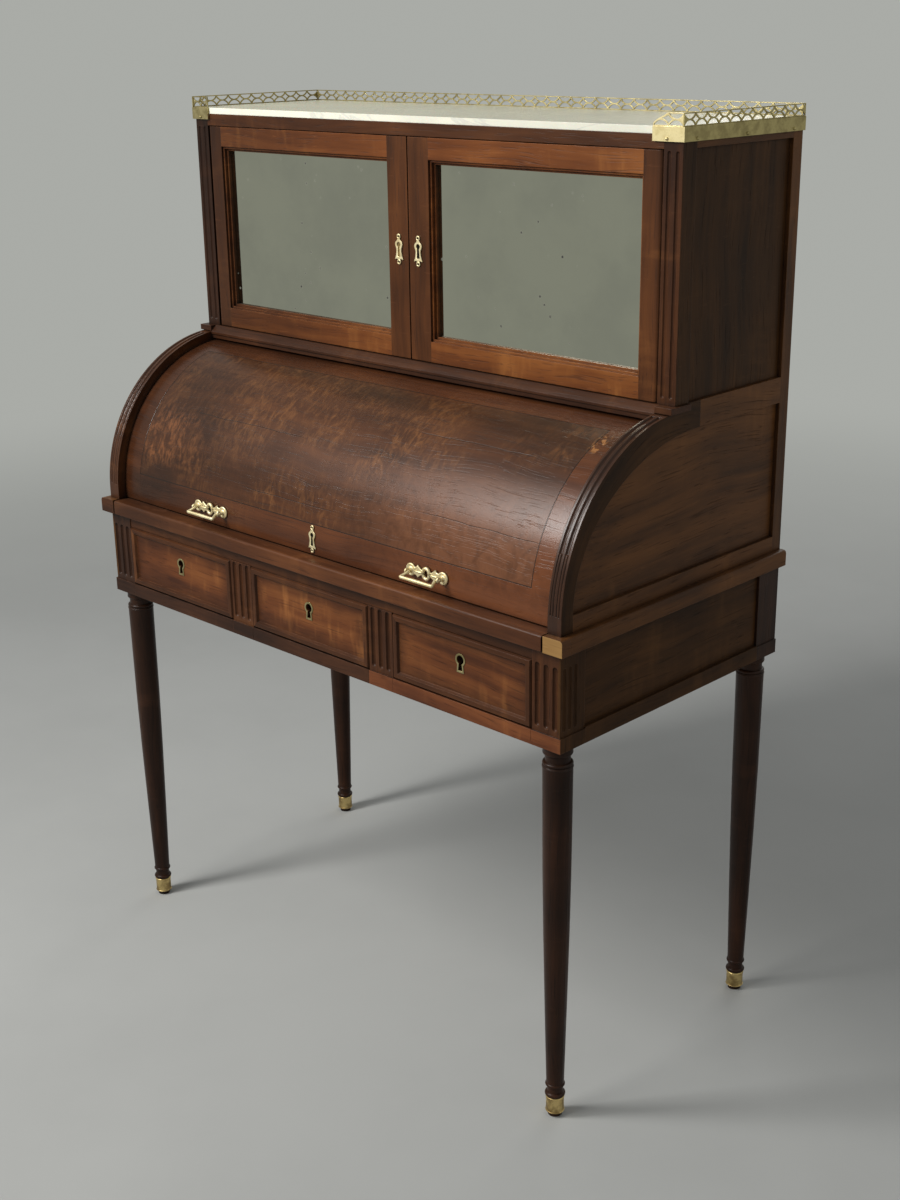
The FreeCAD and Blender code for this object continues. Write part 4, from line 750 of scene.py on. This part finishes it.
setFinish("brass_gallery", [brass("galleryBrass"), brass("returnBrass"), brass("sideBrass")], pickGallery)
setFinish("front_bottom_rails", [wood("baseMahogany", "X"), wood("redMahogany", "X")],
          lambda c, n: 1 if c.x > rightBay else 0)
setFinish("pigeonhole_nest", [wood("mahogany", "X"), wood("mahogany", "Z")],
          lambda c, n: 1 if abs(n.x) > faceLook["side"] else 0)
sideTones = {"left": ("darkMahogany", "baseMahogany", "baseMahogany"),  # post, plinth, end block
             "right": ("mahogany", "redMahogany", "bareBlock")}
for side, (postTone, plinthTone, blockTone) in sideTones.items():
    setFinish("leg_front_" + side, [wood("darkMahogany", "Z"), wood(postTone, "Z"), wood(plinthTone, "X"),
                                    wood("sideMahogany", "Z")], pickFrontLeg)
    setFinish("fluted_stile_" + side, [wood("mahogany", "Z"), wood(plinthTone, "X")],
              lambda c, n: 1 if c.z < faceLook["plinthHead"] and n.y < faceLook["front"] else 0)
    setFinish("side_frame_" + side, [wood("railMahogany", "Y"), wood("railMahogany", "Z")],
              lambda c, n: 1 if c.y > stileFront else 0)
    setFinish("side_moulding_" + side, [wood("railMahogany", "Y"), wood(blockTone, "X")],
              lambda c, n: 1 if c.y < endBlock and n.y < faceLook["flatFront"] else 0)
    setFinish("door_frame_" + side,
              [wood("doorMahogany", "X"), wood("stileMahogany", "Z"), wood("oldOak", "X")], pickDoor)
    for name, tone, axis in (("cylinder_cheek_", "cheekMahogany", "Arc"), ("cabinet_post_", postTone, "Z")):
        outerFace = max(abs(corner.x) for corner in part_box(name + side)) - hair
        setFinish(name + side, [wood(tone, axis), wood("sideMahogany", axis)],
                  lambda c, n: 1 if abs(c.x) > outerFace else 0)
    setFinish("door_mirror_" + side, [mirrorFinish])
    setFinish("door_lock_" + side, [brass("lockBrass")])
    setFinish("nest_drawer_" + side, [wood("fieldMahogany", "X"), brass("pullBrass"), wood("oldOak", "Y")],
              lambda c, n: 1 if c.y < faceLook["knobBack"] else 2 if c.y > faceLook["nestFrontBack"] else 0)
for place in ("left", "middle", "right"):
    low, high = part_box("drawer_%s_front" % place)
    fieldY = high.y - faceLook["frontBoard"] - faceLook["fieldSlack"]

    def pickFront(c, n):
        # the field, or the moulding's upright and level sides
        if c.y > fieldY:
            return 0
        return 2 if min(c.x - low.x, high.x - c.x) < min(c.z - low.z, high.z - c.z) else 1

    setFinish("drawer_%s_front" % place,
              [wood("fieldMahogany", "X"), wood("mahogany", "X"), wood("mahogany", "Z")], pickFront)
    setFinish("drawer_%s_box" % place, [wood("oldOak", "Y"), wood("oldOak", "X")],
              lambda c, n: 0 if abs(n.x) > faceLook["side"] else 1)
    setFinish("drawer_%s_lock" % place, [brass("galleryBrass")])
print("finishes set")


# mesh helpers

def meshPiece(name, mesh, finish, body):
    mesh.materials.clear()
    mesh.materials.append(finish)
    item = bpy.data.objects.new(name, mesh)
    scene.collection.objects.link(item)
    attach(item, body)
    return item


def joined(name, shapes):
    # several bmesh shapes as one mesh
    whole = bmesh.new()
    for shape in shapes:
        part = bpy.data.meshes.new(name + "Part")
        shape.to_mesh(part)
        shape.free()
        whole.from_mesh(part)
        bpy.data.meshes.remove(part)
    bmesh.ops.recalc_face_normals(whole, faces=whole.faces)
    mesh = bpy.data.meshes.new(name)
    whole.to_mesh(mesh)
    whole.free()
    for face in mesh.polygons:
        face.use_smooth = True
    return mesh


def turns(steps):
    return [fullTurn * i / steps for i in range(steps)]


def inMetres(pairs):
    return [(first * mm, second * mm) for first, second in pairs]


def skin(shape, rings, closed=False):
    # faces between rings of points, with a cap at each open end
    steps = len(rings[0])
    for low, high in zip(rings, rings[1:] + (rings[:1] if closed else [])):
        for i in range(steps):
            after = (i + 1) % steps
            shape.faces.new((low[i], low[after], high[after], high[i]))
    if not closed:
        shape.faces.new(list(reversed(rings[0])))
        shape.faces.new(rings[-1])


def turned(profile, steps, matrix):
    # profile of (radius, height) pairs spun about local Z
    shape = bmesh.new()
    rings = []
    for radius, height in profile:
        ring = [Vector((radius * math.cos(turn), radius * math.sin(turn), height)) for turn in turns(steps)]
        rings.append([shape.verts.new(matrix @ point) for point in ring])
    skin(shape, rings)
    return shape


def tube(path, radii, steps, closed=False):
    # a round rod along a path of points, its own radius at each
    shape = bmesh.new()
    count = len(path)
    rings = []
    upward, backward = Vector((0.0, 0.0, 1.0)), Vector((0.0, 1.0, 0.0))
    steep = 0.05  # nearly upright stretches take their side from the other axis
    for i in range(count):
        before = path[i - 1] if closed or i else path[i]
        after = path[(i + 1) % count] if closed or i + 1 < count else path[i]
        ahead = (after - before).normalized()
        sideways = ahead.cross(upward)
        if sideways.length < steep:
            sideways = ahead.cross(backward)
        sideways.normalize()
        over = sideways.cross(ahead)
        ring = [sideways * math.cos(turn) + over * math.sin(turn) for turn in turns(steps)]
        rings.append([shape.verts.new(path[i] + point * radii[i]) for point in ring])
    skin(shape, rings, closed)
    return shape


def ellipse(centre, wide, tall, steps):
    return [centre + Vector((wide * math.cos(turn), 0.0, tall * math.sin(turn))) for turn in turns(steps)]


def plateMesh(name, loops, thick, bevel):
    # flat plate in X and Z from closed loops; inner loops are holes; its back lies at y = 0
    curve = bpy.data.curves.new(name, "CURVE")
    curve.dimensions = "2D"
    curve.fill_mode = "BOTH"
    curve.extrude = thick / 2 - bevel
    curve.bevel_depth = bevel
    curve.bevel_resolution = 2
    curve.offset = -bevel  # the outline stays as drawn
    for loop in loops:
        spline = curve.splines.new("POLY")
        spline.points.add(len(loop) - 1)
        for point, (x, z) in zip(spline.points, loop):
            point.co = (x, z, 0.0, 1.0)
        spline.use_cyclic_u = True
    holder = bpy.data.objects.new(name + "Curve", curve)
    mesh = bpy.data.meshes.new_from_object(holder)
    bpy.data.objects.remove(holder)
    bpy.data.curves.remove(curve)
    mesh.transform(Matrix.Translation((0.0, -thick / 2, 0.0)) @ Matrix.Rotation(quarterTurn, 4, "X"))
    return mesh


def smoothLoop(points, steps):
    # closed curve through the points
    out = []
    count = len(points)
    for i in range(count):
        p0, p1, p2, p3 = (Vector(points[(i + k - 1) % count]) for k in range(4))
        for s in range(steps):
            f = s / steps
            out.append(tuple(0.5 * (2 * p1 + (p2 - p0) * f + (2 * p0 - 5 * p1 + 4 * p2 - p3) * f * f
                                    + (3 * p1 - p0 - 3 * p2 + p3) * f ** 3)))
    return out


def asShape(mesh, matrix=Matrix.Identity(4)):
    mesh.transform(matrix)
    shape = bmesh.new()
    shape.from_mesh(mesh)
    bpy.data.meshes.remove(mesh)
    return shape


# lyre-shaped escutcheons on the doors and the cylinder, in mm

scutcheonLook = {
    "half": [(0.0, 16.0), (2.4, 15.8), (3.2, 14.4), (4.4, 12.9), (6.3, 11.5), (7.7, 9.3), (8.0, 7.0),
             (7.3, 4.4), (6.1, 1.9), (5.4, -0.8), (5.5, -4.2), (6.2, -8.2), (7.2, -11.6), (8.5, -14.0),
             (8.9, -15.9), (7.2, -15.7), (5.0, -15.0), (3.2, -15.4), (2.4, -16.0), (0.0, -16.2)],
    "curveSteps": 4, "thick": 2.0, "bevel": 0.65,
    "keyHead": 3.85, "keyHeadRise": 6.8, "keyLegTop": 2.0, "keyLegFoot": 3.2, "keyLegLow": -11.2,
    "keySteps": 16, "finial": 19.4, "finialRing": 2.9, "finialWire": 1.3, "finialSteps": 22, "wireSteps": 10,
    "wayWide": 1.12, "wayTall": 1.05, "wayThick": 0.4, "wayBevel": 0.1,
}
lockLook = {"plateOut": 1.5, "side": 21.0, "caseGap": 2.0, "shellGap": 14.0, "cylinderSize": 0.93,
            "caseBevel": 0.7, "screwInset": 5.0, "screw": [(2.4, -0.3), (2.4, 0.1), (1.9, 0.7), (0.6, 0.9)],
            "screwSteps": 14}


def keyLoop(look):
    # round head above a leg that widens downwards
    radius, foot, low = look["keyHead"], look["keyLegFoot"], look["keyLegLow"]
    start = math.asin(look["keyLegTop"] / radius)
    head = []
    for i in range(look["keySteps"] + 1):
        turn = start - quarterTurn + (fullTurn - 2 * start) * i / look["keySteps"]
        head.append((radius * math.cos(turn), look["keyHeadRise"] + radius * math.sin(turn)))
    return head + [(-foot, low), (foot, low)]


def scutcheon(name, centre, size=1.0):
    look = scutcheonLook
    right = look["half"]
    outline = smoothLoop(right + [(-x, z) for x, z in reversed(right[1:-1])], look["curveSteps"])
    loops = [inMetres(outline), inMetres(keyLoop(look))]
    shapes = [asShape(plateMesh(name, loops, look["thick"] * mm, look["bevel"] * mm))]
    ringSize, steps = look["finialRing"] * mm, look["finialSteps"]
    for way in (1, -1):  # ringed buds above and below
        ringCentre = Vector((0.0, -look["thick"] / 2, way * look["finial"])) * mm
        ring = ellipse(ringCentre, ringSize, ringSize, steps)
        shapes.append(tube(ring, [look["finialWire"] * mm] * steps, look["wireSteps"], True))
    mesh = joined(name, shapes)
    mesh.transform(Matrix.Translation(centre) @ Matrix.Scale(size, 4))
    return mesh


def keyway(name, centre, size=1.0):
    # what shows through the keyhole: a near-black plate of painted shade for the way in, or a brass blank
    # behind it
    look = scutcheonLook
    loop = inMetres([(x * look["wayWide"], z * look["wayTall"]) for x, z in keyLoop(look)])
    mesh = joined(name, [asShape(plateMesh(name, [loop], look["wayThick"] * mm, look["wayBevel"] * mm))])
    mesh.transform(Matrix.Translation(centre) @ Matrix.Scale(size, 4))
    return mesh


def bentToShell(mesh):
    for point in mesh.vertices:
        rise = point.co.z - axisZ
        point.co.y += axisY - math.sqrt(shellRadius ** 2 - rise ** 2)
    return mesh


def lockCase(name, node, fromY, body):
    # a bevelled box with four screws, the size of the lock node's own box behind its plate
    points = [v.co for v in nodes[node].data.vertices if v.co.y > fromY]
    low, high = (Vector([limit(p[i] for p in points) for i in range(3)]) for limit in (min, max))
    shape = bmesh.new()
    block = Matrix.Translation((low + high) / 2) @ Matrix.Diagonal((*(high - low), 1.0))
    bmesh.ops.create_cube(shape, size=1.0, matrix=block)
    bevel = lockLook["caseBevel"] * mm
    bmesh.ops.bevel(shape, geom=shape.edges[:], offset=bevel, segments=2, affect="EDGES")
    shapes = [shape]
    inset = lockLook["screwInset"] * mm
    for x in (low.x + inset, high.x - inset):
        for z in (low.z + inset, high.z - inset):
            place = Matrix.Translation((x, high.y, z)) @ Matrix.Rotation(-quarterTurn, 4, "X")
            shapes.append(turned(inMetres(lockLook["screw"]), lockLook["screwSteps"], place))
    meshPiece(name, joined(name, shapes), brass("lockBrass"), body)


for side, way in (("left", -1), ("right", 1)):
    node, body = "door_lock_" + side, "door_" + side
    low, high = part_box(node)
    faceY = low.y + lockLook["plateOut"] * mm
    centre = Vector((way * lockLook["side"] * mm, faceY, (low.z + high.z) / 2))
    name = "doorScutcheon_" + side
    piece = meshPiece(name, scutcheon(name, centre), brass("pullBrass"), body)
    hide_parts(node)
    name = "doorKeyway_" + side
    blank = brass("sabotBrass") if side == "left" else keyholeShade
    meshPiece(name, keyway(name, centre), blank, body)
    lockCase("doorLockCase_" + side, node, faceY + lockLook["caseGap"] * mm, body)
low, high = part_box("cylinder_lock")
centre = Vector((0.0, 0.0, (low.z + high.z) / 2))
mesh = bentToShell(scutcheon("cylinderScutcheon", centre, lockLook["cylinderSize"]))
piece = meshPiece("cylinderScutcheon", mesh, brass("pullBrass"), "cylinder")
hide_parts("cylinder_lock")
mesh = bentToShell(keyway("cylinderKeyway", centre, lockLook["cylinderSize"]))
meshPiece("cylinderKeyway", mesh, keyholeShade, "cylinder")
lockCase("cylinderLockCase", "cylinder_lock", axisY - shellRadius + lockLook["shellGap"] * mm, "cylinder")
print("locks made")


# brass pulls: ribbon plate, rosettes, posts, and a squared bail, in mm

pullLook = {
    "half": 32.0, "ringWide": 6.3, "ringTall": 8.0, "ringWire": 2.75, "ringOut": 2.3, "ringSteps": 28,
    "wireSteps": 12, "leafThick": 3.0, "leafBevel": 1.1, "curveSteps": 3,
    "leaf": [(7.0, 3.2), (9.5, 3.9), (12.4, 5.6), (15.2, 7.6), (18.2, 9.6), (19.0, 8.0), (20.4, 6.6),
             (22.6, 5.8), (25.0, 5.2)],
    "rib": [(8.0, 0.9), (11.0, 1.1), (14.0, 1.3), (17.0, 1.4), (20.0, 1.2), (23.0, 0.9)],  # place, radius
    "ribOut": 2.9, "ribSwell": 0.5, "ribSteps": 8,
    "dish": [(9.5, 0.0), (9.8, 0.7), (9.6, 1.7), (8.9, 2.5), (7.9, 2.7), (6.8, 2.2), (5.6, 1.9), (4.4, 2.3),
             (3.6, 3.3), (3.1, 4.8), (3.0, 6.4), (3.0, 8.0)],
    "dishSteps": 40, "eyeOut": 10.0, "eyeSteps": 24,
    "eye": [(3.6, -1.6), (4.3, -1.28), (4.6, 0.0), (4.3, 1.28), (3.6, 1.6)],
    "bailHalf": 27.5, "bailReach": 13.6, "bailDrop": 5.8, "bailSteps": 16, "bailMiddle": 2.8,
    # past the half width, share of the way out, radius: pin, arm, corner and bar
    "bail": [(7.1, 0.0, 1.9), (2.6, 0.0, 1.9), (1.2, 0.02, 2.2), (0.3, 0.08, 2.5), (0.2, 0.18, 2.4),
             (1.2, 0.4, 2.3), (2.8, 0.66, 2.3), (4.0, 0.86, 2.5), (4.1, 0.96, 2.8), (3.0, 1.0, 2.8),
             (0.6, 1.0, 2.5), (-7.0, 1.0, 2.5), (-16.0, 1.0, 2.7)],
}


def pullPlates(centreX, seatY, midZ):
    look = pullLook
    half = look["leaf"]
    start, stop = look["rib"][0][0], look["rib"][-1][0]
    shapes = []
    for way in (-1, 1):
        seat = Vector((way * centreX, seatY, midZ))
        ring = ellipse(seat - Vector((0.0, look["ringOut"], 0.0)) * mm, look["ringWide"] * mm,
                       look["ringTall"] * mm, look["ringSteps"])
        shapes.append(tube(ring, [look["ringWire"] * mm] * look["ringSteps"], look["wireSteps"], True))
        for end in (-1, 1):
            outline = [(end * x, z) for x, z in half + [(x, -z) for x, z in reversed(half)]]
            loop = inMetres(smoothLoop(outline, look["curveSteps"]))
            leaf = plateMesh("leaf", [loop], look["leafThick"] * mm, look["leafBevel"] * mm)
            shapes.append(asShape(leaf, Matrix.Translation(seat)))
            rib = []
            for x, radius in look["rib"]:
                out = look["ribOut"] + look["ribSwell"] * math.sin((x - start) / (stop - start) * math.pi)
                rib.append(seat + Vector((end * x, -out, 0.0)) * mm)
            shapes.append(tube(rib, [radius * mm for x, radius in look["rib"]], look["ribSteps"]))
            post = seat + Vector((end * look["half"], 0.0, 0.0)) * mm
            front = Matrix.Translation(post) @ Matrix.Rotation(quarterTurn, 4, "X")
            shapes.append(turned(inMetres(look["dish"]), look["dishSteps"], front))
            tip = post - Vector((0.0, look["eyeOut"], 0.0)) * mm
            across = Matrix.Translation(tip) @ Matrix.Rotation(quarterTurn, 4, "Y")
            shapes.append(turned(inMetres(look["eye"]), look["eyeSteps"], across))
    return joined("pullPlates", shapes)


def bailMesh(name, centre):
    # pin, arm and half the bar, then the same back again
    look = pullLook
    half = [(look["bailHalf"] + x, share, radius) for x, share, radius in look["bail"]]
    otherHalf = [(-x, share, radius) for x, share, radius in reversed(half)]
    points = half + [(0.0, 1.0, look["bailMiddle"])] + otherHalf
    path = [centre + Vector((x, -look["bailReach"] * share, -look["bailDrop"] * share)) * mm
            for x, share, radius in points]
    return joined(name, [tube(path, [radius * mm for x, share, radius in points], look["bailSteps"])])


bailJoints = [joint for joint in frame["joints"] if joint["child"].startswith("bail_")]
pivot = Vector(bailJoints[0]["pos_m"])
mesh = pullPlates(abs(pivot.x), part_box("pull_plates")[1].y, pivot.z)
plates = meshPiece("pullPlates", mesh, brass("pullBrass"), "cylinder")
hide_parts("pull_plates")
for joint in bailJoints:
    mesh = bailMesh(joint["child"], Vector(joint["pos_m"]))
    name = "pullBail" + joint["child"].removeprefix("bail")
    bail = meshPiece(name, mesh, brass("pullBrass"), joint["child"])
    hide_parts("pull_" + joint["child"])
print("pulls made")


# camera at the photograph's viewing angle

cameraLook = {"place": (1.819, -1.793, 1.547), "azimuth": 44.44, "elevation": 19.57, "roll": -0.87,
              "lens": 49.1, "sensor": 36.0, "far": 60.0}
azimuth, elevation, roll = (math.radians(cameraLook[key]) for key in ("azimuth", "elevation", "roll"))
level = math.cos(elevation)
back = Vector((math.sin(azimuth) * level, -math.cos(azimuth) * level, math.sin(elevation)))
across = Vector((0, 0, 1)).cross(back).normalized()
upward = back.cross(across)
right = math.cos(roll) * across + math.sin(roll) * upward
upright = -math.sin(roll) * across + math.cos(roll) * upward
cameraData = bpy.data.cameras.new("camera")
cameraData.lens = cameraLook["lens"]
cameraData.sensor_width = cameraLook["sensor"]
cameraData.clip_end = cameraLook["far"]
camera = bpy.data.objects.new("camera", cameraData)
turnedTo = Matrix((right, upright, back)).transposed().to_4x4()
camera.matrix_world = Matrix.Translation(cameraLook["place"]) @ turnedTo
scene.collection.objects.link(camera)
scene.camera = camera


# floor, soft lamps and a pale surround

stageLook = {
    "floor": (0.435, 0.44, 0.425), "mottleNoise": (1.3, 5.0, 0.6), "mottle": (0.35, 0.65),
    "mottleTone": 0.94, "rough": 0.75, "floorHalf": 14.0, "floorSides": 64, "fade": (1.5, 4.6),
    "surround": (0.4, 0.41, 0.385, 1.0), "ambient": 0.24, "ambientTint": (0.93, 0.97, 1.0, 1.0),
}


def seenRays(tree):
    # rays that show the surround itself, not those that light the desk
    path = addNode(tree, "ShaderNodeLightPath").outputs
    return largest(path["Is Camera Ray"], path["Is Glossy Ray"], path["Is Transmission Ray"])


floorFinish, shader, vector = newFinish("stageFloor")
tree = shader.id_data
mottle = span(noise(vector, *stageLook["mottleNoise"]), stageLook["mottle"])
darkFloor = tuple(stageLook["mottleTone"] * part for part in stageLook["floor"])
feed(shader, {"Base Color": mixColour(mottle, darkFloor, stageLook["floor"]),
              "Roughness": stageLook["rough"]})
place = splitAxes(vector)  # far off, the floor runs into the surround
far = times(seenRays(tree), span(hypotenuse(place["X"], place["Y"]), stageLook["fade"]))
plain = addNode(tree, "ShaderNodeEmission", {0: stageLook["surround"], 1: 1.0})
both = addNode(tree, "ShaderNodeMixShader", {0: far, 1: shader.outputs[0], 2: plain.outputs[0]})
feed(tree.nodes["Material Output"], {0: both.outputs[0]})
shape = bmesh.new()
bmesh.ops.create_circle(shape, cap_ends=True, radius=stageLook["floorHalf"],
                        segments=stageLook["floorSides"])
floorMesh = bpy.data.meshes.new("floor")
shape.to_mesh(floorMesh)
shape.free()
floorMesh.materials.append(floorFinish)
floor = bpy.data.objects.new("floor", floorMesh)
scene.collection.objects.link(floor)

lampLook = [  # name, place, width and height, power, tint
    ("frontLamp", (-0.9, -3.1, 3.0), (1.7, 1.7), 60.0, (1.0, 0.985, 0.955)),
    ("windowLamp", (-1.04, -1.78, 2.6), (0.5, 1.4), 52.0, (1.0, 0.995, 0.98)),
    ("rightLamp", (3.2, 0.4, 1.9), (2.0, 2.0), 6.0, (1.0, 0.965, 0.9)),
    ("backLamp", (-0.8, 3.2, 2.6), (2.0, 2.0), 20.0, (1.0, 0.99, 0.97)),
]
lampAim = Vector((0.0, 0.0, 0.85))
for name, place, size, power, tint in lampLook:
    data = bpy.data.lights.new(name, "AREA")
    data.shape = "RECTANGLE"
    data.size, data.size_y = size
    data.energy = power
    data.color = tint
    lamp = bpy.data.objects.new(name, data)
    lamp.location = place
    lamp.rotation_euler = (lampAim - Vector(place)).to_track_quat("-Z", "Y").to_euler()
    scene.collection.objects.link(lamp)
world = bpy.data.worlds.new("surround")
scene.world = world
world.use_nodes = True
tree = world.node_tree
tree.nodes.clear()
glow = addNode(tree, "ShaderNodeBackground", {0: stageLook["surround"], 1: 1.0})
dim = addNode(tree, "ShaderNodeBackground", {0: stageLook["ambientTint"], 1: stageLook["ambient"]})
both = addNode(tree, "ShaderNodeMixShader", {0: seenRays(tree), 1: dim.outputs[0], 2: glow.outputs[0]})
addNode(tree, "ShaderNodeOutputWorld", {0: both.outputs[0]})
print("camera, lamps and floor set")
